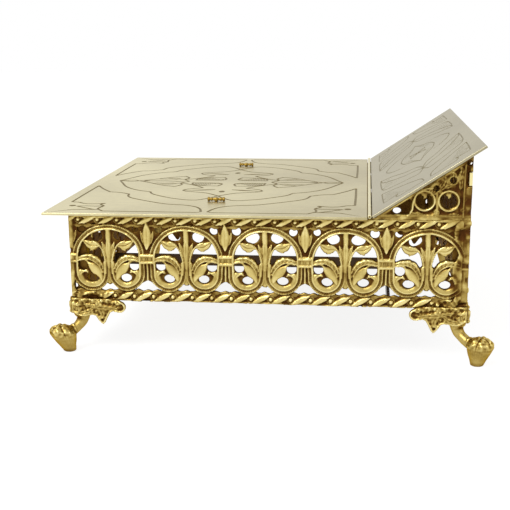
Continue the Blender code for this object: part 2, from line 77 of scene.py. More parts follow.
# sizes of the reliefs are in millimetres, the foot's skin in metres
HEAD_ANGLE = math.radians(33.3)
HEAD_THICK = 1.6
FRIEZE_HEIGHT = 60.4
EDGE_ROUND = 0.8
BACK_ROUND = 0.35
FOOT_SKIN = 0.00042


# ---------------------------------------------------------------- small helpers
def linear(red, green, blue):
    """Linear colour from everyday 0-255 values."""
    def one(value):
        value /= 255
        return value / 12.92 if value <= 0.04045 else ((value + 0.055) / 1.055) ** 2.4
    return (one(red), one(green), one(blue), 1.0)


def smooth_path(points, per_span=8):
    """Points along a smooth curve through the given ones."""
    pts = [np.array(p, float) for p in points]
    pts = [2 * pts[0] - pts[1]] + pts + [2 * pts[-1] - pts[-2]]
    out = []
    for a, b, c, d in zip(pts, pts[1:], pts[2:], pts[3:]):
        for t in np.arange(per_span) / per_span:
            out.append(0.5 * (2 * b + (c - a) * t + (2 * a - 5 * b + 4 * c - d) * t ** 2
                              + (3 * b - a - 3 * c + d) * t ** 3))
    out.append(pts[-2])
    return out


def arc_path(centre, radius_x, radius_z, start, end, count=16):
    """Points on an ellipse, angles in degrees."""
    angles = np.radians(np.linspace(start, end, count))
    return [(centre[0] + radius_x * math.cos(a), centre[1] + radius_z * math.sin(a)) for a in angles]


def follow(points, x, z):
    """Distance, side and share of the way along a path for every grid point."""
    best = np.full(x.shape, 1e9)
    side = np.ones(x.shape)
    run = np.zeros(x.shape)
    total = 0.0
    for (x0, z0), (x1, z1) in zip(points, points[1:]):
        dx, dz = x1 - x0, z1 - z0
        length = math.hypot(dx, dz)
        t = np.clip(((x - x0) * dx + (z - z0) * dz) / length ** 2, 0, 1)
        ox = x - x0 - t * dx
        oz = z - z0 - t * dz
        distance = np.hypot(ox, oz)
        closer = distance < best
        best = np.where(closer, distance, best)
        side = np.where(closer, np.where(dx * oz - dz * ox >= 0, 1.0, -1.0), side)
        run = np.where(closer, total + t * length, run)
        total += length
    return best, side, run, total


def dome(distance, half):
    """Half-round profile, 1 in the middle and 0 at the edge."""
    return np.sqrt(np.clip(1 - (distance / half) ** 2, 0, 1))


def least(*fields):
    """Smallest of several fields at every grid point."""
    return np.minimum.reduce(fields)


def blurred(field, reach):
    """Box blur over a grid, repeated to come out round."""
    for _ in range(2):
        for axis in (0, 1):
            padded = np.concatenate([np.repeat(field.take([0], axis), reach, axis), field,
                                     np.repeat(field.take([-1], axis), reach, axis)], axis)
            sums = np.cumsum(padded, axis)
            first = np.zeros_like(sums.take([0], axis))
            sums = np.concatenate([first, sums], axis)
            size = field.shape[axis]
            span = 2 * reach + 1
            upper = sums.take(range(span, span + size), axis)
            field = (upper - sums.take(range(size), axis)) / span
    return field


# ---------------------------------------------------------------- cast reliefs
class Relief:
    """Openwork casting as a height map: how far inside the metal a point is, and how high it stands."""

    def __init__(self, length, low, high, step, seed):
        columns = int(round(length / step)) + 1
        rows = int(round((high - low) / step)) + 1
        self.u, self.h = np.meshgrid(np.linspace(0, length, columns), np.linspace(low, high, rows),
                                     indexing="ij")
        self.step = step
        self.inside = np.full(self.u.shape, -5.0)
        self.top = np.zeros(self.u.shape)
        rng = np.random.default_rng(seed)
        grain = blurred(rng.normal(size=self.u.shape), 1)
        lumps = blurred(rng.normal(size=self.u.shape), 3)
        drift = blurred(rng.normal(size=self.u.shape), 8)
        self.grain = grain / grain.std()
        self.lumps = lumps / lumps.std()
        self.drift = drift / drift.std()
        # darkening painted on corners and ends: painted shade, partly soot
        self.shade_and_soot = np.zeros(self.u.shape)

    def lay(self, inside, top):
        """Adds metal where inside is positive, up to the height of top."""
        self.inside = np.maximum(self.inside, inside)
        self.top = np.maximum(self.top, np.where(inside > -0.2, top, 0))

    def trim(self, *margins):
        """Ends the metal where any of the margins turns negative."""
        self.inside = least(self.inside, *margins)

    def cut(self, gap, rim=0.0):
        """Opens a hole where gap is positive, with a raised lip round it."""
        self.top = np.maximum(self.top, rim * dome(np.abs(gap + 0.7), 0.8))
        self.trim(-gap)

    def bar(self, x, z, points, half, height, end_half=None):
        """Round bar along a path, tapered to end_half where given."""
        distance, _, run, total = follow(points, x, z)
        width = half + ((end_half if end_half is not None else half) - half) * run / total
        self.lay(width - distance, height * dome(distance, width))

    def moulding(self, x, z, points, height, half=2.0, outer=1):
        """Broad smooth ridge, a hatched channel and a thin outer ridge, side by side."""
        distance, side, run, _ = follow(points, x, z)
        across = distance * side * outer / half
        broad = height * dome(across + 0.52, 0.46)
        thin = 0.88 * height * dome(across - 0.80, 0.26)
        hatch = 0.5 + 0.5 * np.cos(2 * math.pi * (run + 0.9 * across) / 1.35)
        channel = height * (0.42 + 0.17 * hatch) * dome(across - 0.25, 0.55)
        self.lay(half - distance, np.maximum(np.maximum(broad, thin), channel))

    def leaf(self, x, z, points, half, height, widest=0.45, veins=0, lobes=0, rib=0.35):
        """Pointed leaf on a curved midrib, with veins and a lobed edge where asked for."""
        distance, _, run, total = follow(points, x, z)
        t = np.clip(run / total, 0, 1)
        rise = np.where(t < widest, t / widest, (1 - t) / (1 - widest))
        width = half * np.sin(0.5 * math.pi * np.clip(rise, 0, 1)) ** 0.75
        if lobes:
            width = width * (0.84 + 0.16 * np.abs(np.sin(math.pi * lobes * t)))
        across = distance / np.maximum(width, 0.05)
        top = height * dome(across, 1.0) ** 0.8
        top = top - rib * height * np.exp(-(distance / 0.38) ** 2) * (t < 0.93)
        if veins:
            top = top - 0.16 * height * (0.5 + 0.5 * np.cos(2 * math.pi * (veins * t - 0.55 * across)))
        self.lay(width - distance, np.maximum(top, 0))

    def frond(self, x, z, points, *sizes, **extras):
        """Leaf on a smooth curve through the points."""
        self.leaf(x, z, smooth_path(points), *sizes, **extras)

    def bead(self, x, z, cx, cz, radius, height):
        distance = np.hypot(x - cx, z - cz)
        self.lay(radius - distance, height * dome(distance, radius))

    def front(self, base, thick, texture):
        """Height of the front surface above the back, with rounded edges."""
        rough = texture * (0.6 * self.grain + 0.6 * self.lumps)
        height = np.clip(base + self.top + rough, 0.7, thick)
        near = np.clip(self.inside / EDGE_ROUND, 0, 1)
        fall = np.minimum(0.55 * height, 1.0)
        return height - fall * (1 - np.sqrt(1 - (1 - near) ** 2))

    def wear_and_shade(self, base):
        """0 in dirty hollows and where shade and soot are painted, 1 on rubbed high places."""
        height = base + self.top
        reach = max(1, int(round(1.3 / self.step)))
        local = height - blurred(height, reach)
        broad = height - blurred(height, 3 * reach)
        return np.clip(0.34 + 0.36 * local + 0.20 * broad + 0.09 * self.top + 0.03 * self.lumps
                       + 0.02 * self.drift - self.shade_and_soot, 0, 1)


def open_edges(faces):
    """Edges with a face on one side only, each in its face's direction."""
    edges = {(a, b) for face in faces for a, b in zip(face, face[1:] + face[:1])}
    return sorted((a, b) for a, b in edges if (b, a) not in edges)


def relief_mesh(name, relief, origin, along, outward, base=1.1, thick=3.4, texture=0.14):
    """Two-sided mesh of a relief, its rim drawn onto the true outline."""
    u, h, inside = relief.u, relief.h, relief.inside
    step = relief.step
    gu, gh = np.gradient(inside, step)
    slope = np.maximum(gu ** 2 + gh ** 2, 0.2)
    snap = 0.55 * step
    near = np.abs(inside) < snap
    u = np.where(near, u - inside * gu / slope, u)
    h = np.where(near, h - inside * gh / slope, h)
    u = np.clip(u, relief.u.min(), relief.u.max())
    h = np.clip(h, relief.h.min(), relief.h.max())
    keep = inside > -snap
    front = relief.front(base, thick, texture)
    wear_and_shade = relief.wear_and_shade(base)
    index = np.full(keep.shape, -1)
    index[keep] = np.arange(keep.sum())
    corners = [index[:-1, :-1], index[1:, :-1], index[1:, 1:], index[:-1, 1:]]
    solid = [c >= 0 for c in corners]
    core = inside > 0.0
    some = core[:-1, :-1] | core[1:, :-1] | core[1:, 1:] | core[:-1, 1:]
    full = solid[0] & solid[1] & solid[2] & solid[3] & some
    faces = np.stack([c[full] for c in corners], 1).tolist()
    for missing in range(4):
        others = [k for k in range(4) if k != missing]
        three = ~solid[missing] & solid[others[0]] & solid[others[1]] & solid[others[2]] & some
        faces += np.stack([corners[k][three] for k in others], 1).tolist()
    rim = open_edges(faces)
    count = int(keep.sum())
    faces += [[v + count for v in reversed(face)] for face in list(faces)]
    faces += [[b, a, a + count, b + count] for a, b in rim]
    along, outward = Vector(along), Vector(outward)
    up = Vector((0, 0, 1))
    flip = along.cross(up).dot(outward) < 0
    near = np.clip(inside[keep] / EDGE_ROUND, 0, 1)
    back = BACK_ROUND * (1 - np.sqrt(1 - (1 - near) ** 2))
    us = np.concatenate([u[keep], u[keep]])
    hs = np.concatenate([h[keep], h[keep]])
    ds = np.concatenate([front[keep], back])
    spots = (np.array(origin) + MM * (us[:, None] * np.array(along) + hs[:, None] * np.array(up)
                                      + ds[:, None] * np.array(outward)))
    if flip:
        faces = [face[::-1] for face in faces]
    mesh = bpy.data.meshes.new(name)
    mesh.from_pydata(spots.tolist(), [], faces)
    mesh.shade_smooth()
    # the back faces get a low value: painted shade on the inner side of the casting
    dull = 0.10 + 0.05 * relief.lumps[keep]
    values = np.concatenate([wear_and_shade[keep], np.clip(dull, 0, 1)])
    layer = mesh.attributes.new("wear_and_shade", "FLOAT", "POINT")
    layer.data.foreach_set("value", values.astype(np.float32))
    return mesh


# ---------------------------------------------------------------- frieze of arches
BAY = 53.76
ARCH = (arc_path((0, 31), 23, 20.6, 90, 4, 22) + [(23.1, 28), (22.9, 22)]
        + arc_path((12.5, 19.5), 10.4, 10.4, 0, -170, 30)
        + [(2.1, 22), (2.3, 27)])
STALK = smooth_path([(2.6, 19.5), (2.3, 26), (2.9, 31.5), (4.9, 37), (8.2, 40.8), (11.5, 41.8)])


def rope(relief, x, centre, half):
    """Twisted leaf strands with a bead between each two, on a low band."""
    h = relief.h - centre
    pitch = BAY / 4
    relief.lay(half - 0.5 - np.abs(h), 0.5 * dome(h, half))
    for shift in (0, 1):
        s = (x + shift * pitch / 2 + pitch / 2) % pitch - pitch / 2
        if shift == 0:
            strand = smooth_path([(-6.3, -half + 0.6), (-2.6, -1.3), (2.6, 1.3), (6.3, half - 0.6)], 5)
            relief.leaf(s, h, strand, 2.2, 2.3, widest=0.5, rib=0)
            edge = [(px + 0.4, pz - 1) for px, pz in strand]
            relief.bar(s, h, edge[4:-4], 0.5, 2.35)
        else:
            relief.bead(s, h, 0, 0, 1.75, 2.3)
            distance = np.hypot(s, h)
            relief.lay(2.7 - distance, 1.3 * dome(distance - 2.3, 0.5))


def scroll(relief, a, z):
    """Leafy scroll that fills a loop, with its two eyes."""
    disc = 9.4 - np.hypot(a - 12.5, z - 19.5)
    relief.lay(disc, 0.35)
    crest = smooth_path([(23.2, 28.4), (19, 30.6), (13, 31), (8, 28.6), (4.8, 24), (4.2, 19.5)])
    relief.leaf(a, z, crest, 2.4, 2.1, widest=0.5, veins=9, lobes=6, rib=0.2)
    for drop, half in ((-0.5, 0.55), (1.8, 0.65)):
        ridge = [(px + 0.5 * drop, pz - drop) for px, pz in crest]
        relief.bar(a, z, ridge[5:-5], half, 2.4)
    relief.frond(a, z, [(15.4, 27.4), (12.4, 25), (9.2, 21.8), (6.8, 18.4), (5.4, 14.8)], 3.8, 2.3,
                 widest=0.5, rib=0)
    relief.frond(a, z, [(21.6, 28.2), (17.6, 29), (13.8, 27.4)], 1.5, 2.2, widest=0.5, rib=0.2)
    low = smooth_path([(21, 20), (18.6, 13.8), (13, 11.3), (7.6, 13.2), (5, 17)])
    relief.bar(a, z, low, 2.3, 1.8)
    relief.frond(a, z, [(20.8, 16.6), (19.8, 20), (16.8, 21.4), (14.4, 19.8)], 2, 2.2, widest=0.4, rib=0.2)
    relief.cut(3.3 - np.hypot(a - 17.7, z - 24.9))
    eye = 1 - np.hypot((a - 12) / 3.7, (np.where(z > 16.4, (z - 16.4) * 1.1, z - 16.4)) / 2.8)
    relief.cut(eye * 2.9)


def frieze(length, count, step, seed, left_strip, right_strip):
    """Whole panel of arches between two ropes."""
    relief = Relief(length, 0, FRIEZE_HEIGHT, step, seed)
    pitch = length / count
    bend = relief.drift
    x = (relief.u % pitch - pitch / 2) * BAY / pitch
    a = np.abs(x + 0.16 * np.roll(bend, 40, 0))
    z = relief.h + 0.14 * bend
    scroll(relief, a, z)
    relief.moulding(a, z, ARCH, 2.2, outer=1)
    stem = [(0, 13.8), (0, 24), (0, 31), (0, 36), (0, 49.6)]
    relief.bar(a, z, stem[:3], 2.3, 1.5)
    relief.bar(a, z, [(0, 24), (0, 36.5)], 1.9, 2, 3.4)
    relief.bar(a, z, [(0, 36), (0, 49.8)], 2.1, 2)
    relief.leaf(a, z, [(0, 28), (0, 43.5)], 2.3, 2.4, widest=0.7, rib=0.25)
    relief.frond(a, z, [(1, 30), (2.4, 35), (3.2, 38), (4.6, 41.6)], 1.5, 2.1, 0.6, rib=0.3)
    relief.bar(a, z, STALK, 0.95, 2.2, 0.6)
    relief.frond(a, z, [(5.6, 39.2), (9, 39.2), (12.6, 39.3), (17.4, 42.4)], 3.1, 2.1, 0.5,
                rib=0.3)
    relief.frond(a, z, [(7, 40), (10.2, 37.6), (12.6, 35.4)], 1.9, 1.8, 0.45, rib=0.2)
    within = (1.0 - np.hypot(a / 21.4, np.clip(z - 31, 0, None) / 19)) * 19.0 + 0.6
    window = 3.5 + 0.3 * relief.lumps - np.hypot((a - 8.2) * 0.86, z - 45.6)
    sill = z - 41.0 + 3.4 * np.clip((9.5 - a) / 3, 0, 1)
    relief.lay(least(within, sill, -window), 0.12 + 0.16 * np.clip(relief.lumps, 0, 1))
    edge = BAY / 2 - a
    web = least(4.2 - edge, z - 15.0 + 0.6 * edge, 28.0 - z)
    relief.lay(web, 0.5)
    relief.bar(edge, z, [(0, 15.5), (0, 27)], 0.9, 1.7)
    clasp = least(5.2 - edge, z - 26.2, 33.3 - z)
    waist = 1.6 + 0.3 * np.cos(2 * math.pi * edge / 1.3) * (np.abs(z - 29.8) < 0.9)
    bands = np.maximum(dome(z - 27.4, 1.25), dome(z - 32.1, 1.25))
    relief.lay(clasp, np.maximum(waist, 2.35 * bands) * dome(np.clip(edge - 3.6, 0, None), 1.8))
    relief.lay(least(3.4 - edge, z - 32.5, 38.5 - z), 0.3)
    above = np.hypot(a / 23, np.clip(z - 31, 0, None) / 20.6) - 1.0
    hole = 2.5 + 0.45 * relief.drift - np.hypot(edge - 8, z - 50.2)
    relief.lay(least(above * 21.0 + 1, z - 38, 54.0 - z, -hole), 0.12 + 0.14 * np.clip(relief.lumps, 0, 1))
    relief.leaf(edge, z, [(0, 36), (0, 55)], 3.5, 2.3, widest=0.48, rib=0.12)
    relief.frond(edge, z, [(0.6, 38), (2.6, 42), (3.4, 45), (4.4, 49.4)], 1.3, 1.8, 0.5)
    for line in (52.9, 6.9):
        relief.lay(1.0 - np.abs(z - line) + 0.5 * np.cos(2 * math.pi * relief.u / 6.7), 0.8)
    rope(relief, relief.u * BAY / pitch, 57, 3.5)
    rope(relief, relief.u * BAY / pitch + 3, 3.5, 3.5)
    relief.lay(0.9 - np.abs(z - 59.6), 1.9)
    relief.lay(0.8 - z, 1.7)
    for strip, side in ((left_strip, relief.u), (right_strip, length - relief.u)):
        if strip:
            post = min(strip, 4.8)
            lump = 1 + 0.28 * relief.lumps * np.clip(3 * np.abs(np.cos(z / 5)) - 1, 0, 1)
            relief.lay(post - side, 1.9 * dome(np.clip(side - 0.4, 0, None), post) ** 0.5 * lump)
            if strip > post:
                swell = strip - post + 1.6 * np.cos(z / 4.1) + 0.5 * relief.drift
                mass = np.clip(1.9 + 0.75 * relief.lumps, 0.4, 2.4)
                relief.lay(np.minimum(post + swell - side, side - post + 0.4), mass)
            # the corner strips and the rough low corner mass are darkened: painted shade, partly soot
            corner_shade_and_soot = np.clip(0.14 + 0.020 * strip + 0.16 * relief.drift, 0.02, 0.5)
            relief.shade_and_soot = np.maximum(relief.shade_and_soot, np.clip((strip + 3.0 - side) / 3, 0, 1) * corner_shade_and_soot)
            low_mass = np.minimum(26.0 + 3.0 * relief.drift - side, 6.8 + 0.6 * relief.drift - z)
            crust = np.clip(1.45 + 0.55 * relief.lumps + 0.30 * relief.grain, 0.4, 2.3)
            fade = np.clip(low_mass / 3, 0, 1)
            relief.top = np.where(low_mass > 0, fade * crust + (1 - fade) * relief.top, relief.top)
            relief.shade_and_soot = np.maximum(relief.shade_and_soot, 0.10 * fade)
    relief.trim(z + 0.001, FRIEZE_HEIGHT + 0.001 - z, relief.u + 0.001, length - relief.u + 0.001)
    return relief


# ---------------------------------------------------------------- risers under the head plate
def slope_at(x, drop, rise):
    """Height of the head plate's underside above the main plate's top, in mm."""
    return rise + x * math.tan(HEAD_ANGLE) - drop / math.cos(HEAD_ANGLE)


def side_riser(reach, drop, rise, step, seed):
    """Openwork wedge between the frame and the head plate."""
    top_height = slope_at(reach, drop, rise)
    relief = Relief(reach, -2.9, top_height, step, seed)
    x, z = relief.u, relief.h
    under = (slope_at(x, drop, rise) - z) * math.cos(HEAD_ANGLE)
    relief.lay(1.6 - np.abs(z), 1.7 * dome(z - 0.2, 1.8))
    relief.lay(1.9 - np.abs(z + 1.5), 1.9 * dome(z + 1.5, 2.3) + 0.25 * relief.lumps)
    relief.lay(1.7 - np.abs(under - 1.5), 1.6 * dome(under - 1.5, 1.7))
    relief.lay(least(x - 26.5, z), np.clip(1.0 + 0.7 * relief.lumps, 0.1, 1.9))
    relief.lay(14.0 - x, 0.8)
    rings = (35.2, 50.7)
    for k in range(6):
        px = 31.5 + 4.9 * k
        pz = math.tan(HEAD_ANGLE) * px - 9.6
        relief.frond(x, z, [(px - 1.6, pz - 3.4), (px + 1.4, pz - 0.6), (px + 2.6, pz + 3.2),
                            (px + 1.2, pz + 5.6)], 2.5, 2.2, 0.5, veins=4, lobes=4)
    for px, pz, tx, tz in ((43, 18.4, 46.4, 22.6), (57.6, 17, 56.6, 27.4), (60.4, 9, 60, 18),
                           (41, 4.4, 44.5, 1.2), (58, 3.4, 61, 7), (47, 19.4, 51.8, 20.4),
                           (28.6, 1.4, 33, 2.6), (45, 2.2, 40, 0.6), (50, 1, 57.5, 1.6)):
        relief.frond(x, z, [(px, pz), ((px + tx) / 2 + 1, (pz + tz) / 2), (tx, tz)],
                    2.1, 2.1, 0.5, veins=3, lobes=3)
    for cx in rings:
        distance = np.hypot(x - cx, z - 10.4)
        relief.lay(7.6 - distance, 2.3 * dome(distance - 6.5, 0.85))
        relief.lay(5.9 - distance, 1.2 * dome(distance - 5.3, 0.6))
    stem = smooth_path([(24.6, 0.6), (27.4, 4.5), (28, 10), (30.6, 15.4), (35.6, 18.2), (41, 18.6)])
    relief.bar(x, z, stem, 1.1, 2.3, 0.7)
    relief.frond(x, z, [(20.5, 0), (24.5, 1.8), (29.5, 1.4), (36, 1)], 1.7, 2, 0.6)
    relief.frond(x, z, [(14, 5.6), (14.8, 3.2), (17.4, 1.2), (21, 0.9)], 0.8, 2.2, 0.4, rib=0)
    relief.bar(x, z, [(43, 0.6), (43.4, 7), (43, 15)], 1.3, 1.8)
    column = 1.5 + 0.55 * relief.lumps
    relief.lay(x - (reach - 5.6), np.clip(column, 0.2, 2.3))
    relief.bar(x, z, [(reach - 5.2, 0), (reach - 5, 18), (reach - 4.6, 34)], 0.8, 2.1)
    for cx in rings:
        relief.cut(5.0 - np.hypot(x - cx, z - 10.4), 1.3)
    for cx in rings:
        relief.frond(x, z, [(cx - 1.8, 16), (cx + 0.4, 13.6), (cx - 0.6, 11.8)], 1.6, 1.7, 0.3, rib=0.1)
    relief.cut(2.1 - np.hypot(x - 53.2, z - 24), 1.6)
    relief.cut(1.9 - np.hypot(x - 42.6, z - 18.6), 1.4)
    slot_gap = 1.0 - np.hypot(np.clip(np.abs(x - (reach - 2.2)) - 0.7, 0, None), z - top_height + 5.5)
    relief.cut(slot_gap, 1.4)
    pin_top = top_height - 11.2
    relief.cut(least(x - (reach - 2.9), z - pin_top + 9, pin_top - z))
    relief.cut(least(x - 14, 25.6 - x, z - 1.4, under - 2.4))
    # the riser is darkened, more towards its far end: painted shade, partly soot
    relief.shade_and_soot = 0.12 + 0.06 * relief.drift + 0.20 * np.clip((x - reach + 13) / 8, 0, 1)
    relief.trim(under, z + 2.901, reach - x + 0.001)
    return relief


def end_riser(length, top, count, step, seed):
    """Tall openwork wall at the right end: rings below, leafy triangles above."""
    relief = Relief(length, -1.6, top, step, seed)
    pitch = length / count
    x = relief.u % pitch - pitch / 2
    a = np.abs(x)
    z = relief.h
    edge = pitch / 2 - a
    relief.lay(1 + 0 * z, np.clip(0.35 + 0.3 * relief.lumps, 0, 1.2))
    relief.bar(a, z, [(0, -1.6), (0, 1.2)], 2, 1.6)
    distance = np.hypot(x, z - 10.4)
    relief.lay(10.2 - distance, 2.2 * dome(distance - 8.9, 0.8))
    hatch = 1.2 + 0.3 * np.cos(np.arctan2(z - 10.4, x) * 30)
    relief.lay(8.4 - distance, hatch * dome(distance - 7.7, 0.8))
    relief.leaf(edge, z, [(0, 2), (0, 20)], 2.6, 2.1, 0.55, veins=4)
    relief.leaf(edge, z, [(0, 18), (0, 33.5)], 3.6, 2.2, 0.4, veins=5, lobes=5)
    relief.frond(edge, z, [(1, 20), (4.4, 24), (5.6, 30)], 1.7, 2, 0.5, veins=3)
    relief.bar(a, z, [(0, 20.6), (8.4, 20.9)], 0.7, 1.9)
    relief.bar(a, z, [(6.8, 21.2), (0.6, 34.4)], 0.8, 2)
    relief.bar(a, z, [(0, 1), (15, 1)], 0.9, 1.8)
    relief.bar(a, z, [(0, top - 2), (15, top - 2)], 1.6, 1.9)
    s = relief.u % 4.85 - 2.4
    relief.bead(s, z, 0, top - 2, 1.3, 2.25)
    relief.cut(7.0 - distance, 1.6)
    triangle = np.minimum(z - 21.9, (6.0 * (1 - (z - 21.9) / 11.4) - a) * 0.88)
    relief.cut(triangle, 1.2)
    relief.trim(least(relief.u, length - relief.u, z + 1.6, top - z) + 0.001)
    return relief


# ---------------------------------------------------------------- meshes of other pieces
def placed(name, data):
    """New object in the scene."""
    made = bpy.data.objects.new(name, data)
    bpy.context.scene.collection.objects.link(made)
    return made


def middle_of(node):
    """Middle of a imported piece's box."""
    return [(low + high) / 2 for low, high in zip(*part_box(node))]


def finished(bm, name, sharp=None):
    """Mesh from a bmesh, smooth apart from edges sharper than an angle in degrees."""
    bmesh.ops.recalc_face_normals(bm, faces=bm.faces)
    mesh = bpy.data.meshes.new(name)
    bm.to_mesh(mesh)
    bm.free()
    if sharp:
        mesh.shade_smooth()
        mesh.set_sharp_from_angle(angle=math.radians(sharp))
    return mesh


def new_piece(name, mesh, body, material, nodes):
    """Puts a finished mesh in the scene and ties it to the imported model."""
    piece = placed(name, mesh)
    if len(mesh.materials) == 0:
        mesh.materials.append(material)
    mesh.materials[0] = material
    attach(piece, body)
    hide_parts(*nodes)
    return piece


def mark_wear(mesh, rounds=2, gain=1.0, middle=0.42):
    """Rubbed bulges and dark hollows, from how the surface bends."""
    count = len(mesh.vertices)
    spots = np.empty(count * 3)
    mesh.vertices.foreach_get("co", spots)
    spots = spots.reshape(-1, 3)
    normals = np.empty(count * 3)
    mesh.vertex_normals.foreach_get("vector", normals)
    normals = normals.reshape(-1, 3)
    ends = np.empty(len(mesh.edges) * 2, int)
    mesh.edges.foreach_get("vertices", ends)
    a, b = ends.reshape(-1, 2).T
    span = spots[a] - spots[b]
    length = np.maximum(np.linalg.norm(span, axis=1), 1e-7)
    bend = np.zeros(count)
    degree = np.bincount(a, minlength=count) + np.bincount(b, minlength=count)
    degree = np.maximum(degree, 1)
    bend += np.bincount(a, (span * normals[a]).sum(1) / length, count)
    bend -= np.bincount(b, (span * normals[b]).sum(1) / length, count)
    bend /= degree
    for _ in range(rounds):
        around = np.bincount(a, bend[b], count) + np.bincount(b, bend[a], count)
        bend = 0.5 * bend + 0.5 * around / degree
    layer = mesh.attributes.get("wear_and_shade") or mesh.attributes.new("wear_and_shade", "FLOAT", "POINT")
    values = np.clip(middle + gain * 3.0 * bend, 0, 1)
    layer.data.foreach_set("value", values.astype(np.float32))


def add_tube(bm, points, radii, sides=20):
    """Closed round tube along points, in the unit of the points."""
    rings = []
    pts = [Vector(p) for p in points]
    across = Vector((1, -1, 0)).normalized()
    for i, (point, radius) in enumerate(zip(pts, [float(r) for r in radii])):
        ahead = (pts[min(i + 1, len(pts) - 1)] - pts[max(i - 1, 0)]).normalized()
        side = (across - ahead * across.dot(ahead)).normalized()
        third = ahead.cross(side)
        ring = []
        for k in range(sides):
            angle = 2 * math.pi * k / sides
            ring.append(bm.verts.new(point + radius * (math.cos(angle) * side + math.sin(angle) * third)))
        rings.append(ring)
    for one, two in zip(rings, rings[1:]):
        for k in range(sides):
            bm.faces.new((one[k], one[(k + 1) % sides], two[(k + 1) % sides], two[k]))
    bm.faces.new(rings[0][::-1])
    bm.faces.new(rings[-1])


def add_turned(bm, profile, matrix, sides=32):
    """Turned shape from (radius, height) pairs about Z, placed by a matrix."""
    rings = []
    for radius, height in profile:
        if radius <= 0:
            rings.append([bm.verts.new(matrix @ Vector((0, 0, height)))])
            continue
        ring = []
        for k in range(sides):
            angle = 2 * math.pi * k / sides
            spot = Vector((radius * math.cos(angle), radius * math.sin(angle), height))
            ring.append(bm.verts.new(matrix @ spot))
        rings.append(ring)
    for one, two in zip(rings, rings[1:]):
        for k in range(sides):
            n = (k + 1) % sides
            if len(one) == 1 and len(two) > 1:
                bm.faces.new((one[0], two[n], two[k]))
            elif len(two) == 1 and len(one) > 1:
                bm.faces.new((one[k], one[n], two[0]))
            elif len(one) > 1:
                bm.faces.new((one[k], one[n], two[n], two[k]))


def voxelled(name, bm, size, smooth_rounds):
    """Melts overlapping shapes into one skin."""
    obj = placed(name, finished(bm, name))
    remesh = obj.modifiers.new("skin", "REMESH")
    remesh.mode = "VOXEL"
    remesh.voxel_size = size
    soften = obj.modifiers.new("soften", "SMOOTH")
    soften.factor = 0.5
    soften.iterations = smooth_rounds
    graph = bpy.context.evaluated_depsgraph_get()
    result = bpy.data.meshes.new_from_object(obj.evaluated_get(graph))
    bpy.data.objects.remove(obj)
    return result


# ---------------------------------------------------------------- feet
def bracket_edge(length, drop):
    """Lower edge of the leafy bracket: corner lobe, pointed lobe and round end lobe."""
    edge = [(0, 2.2), (0, -9.0)]
    edge += arc_path((7.6, -6.6), 7.0, 4.6, 205, 300, 9)
    edge += [(0.40 * length, -9.9), (0.44 * length, -10.4), (0.49 * length, -13.0),
             (0.54 * length, -drop + 0.8), (0.575 * length, -drop), (0.61 * length, -drop + 1.2),
             (0.66 * length, -11.4), (0.71 * length, -8.0), (0.76 * length, -7.2)]
    edge += arc_path((length - 4.4, -4.0), 4.4, 4.0, -110, 60, 12)
    return edge + [(length - 5.0, 0.8), (0.7 * length, 1.7), (0.35 * length, 1.5), (0, 2.2)]


def bracket_relief(length, drop, step, seed):
    """Bracket with a smooth rim, a stippled leaf inside and a sunk dot near its point."""
    relief = Relief(length, -drop, 2.4, step, seed)
    x, z = relief.u, relief.h
    edge = bracket_edge(length, drop)
    distance, _, _, _ = follow(edge, x, z)
    crossings = np.zeros(x.shape, bool)
    for (x0, z0), (x1, z1) in zip(edge, edge[1:]):
        spans = (z0 > z) != (z1 > z)
        rise = z1 - z0 if abs(z1 - z0) > 1e-9 else 1e-9
        crossings ^= spans & (x < x0 + (z - z0) / rise * (x1 - x0))
    inside = np.where(crossings, distance, -distance)
    rim = 1.5 * dome(distance - 0.75, 0.85) * (z < -1.2)
    field = 0.85 + 0.26 * relief.grain + 0.20 * relief.lumps
    relief.lay(inside, np.maximum(rim, np.clip(field, 0.1, 1.5)))
    relief.frond(x, z, [(0.2 * length, -2.2), (0.5 * length, -4.2), (0.86 * length, -5.0)], 2.2,
                1.5, 0.5, veins=6, lobes=5)
    relief.frond(x, z, [(0.5 * length, -4.0), (0.56 * length, -8.0), (0.58 * length, -12.0)], 2.8,
                1.3, 0.4, veins=3)
    relief.frond(x, z, [(0.42 * length, -4.0), (0.3 * length, -7.6), (0.12 * length, -9.0)], 2.2,
                1.5, 0.4, veins=4, lobes=4)
    dot = np.hypot(x - 0.56 * length, z + drop - 3.4)
    relief.top = np.where(dot < 0.8, 0.0, relief.top)
    relief.trim(inside)
    return relief


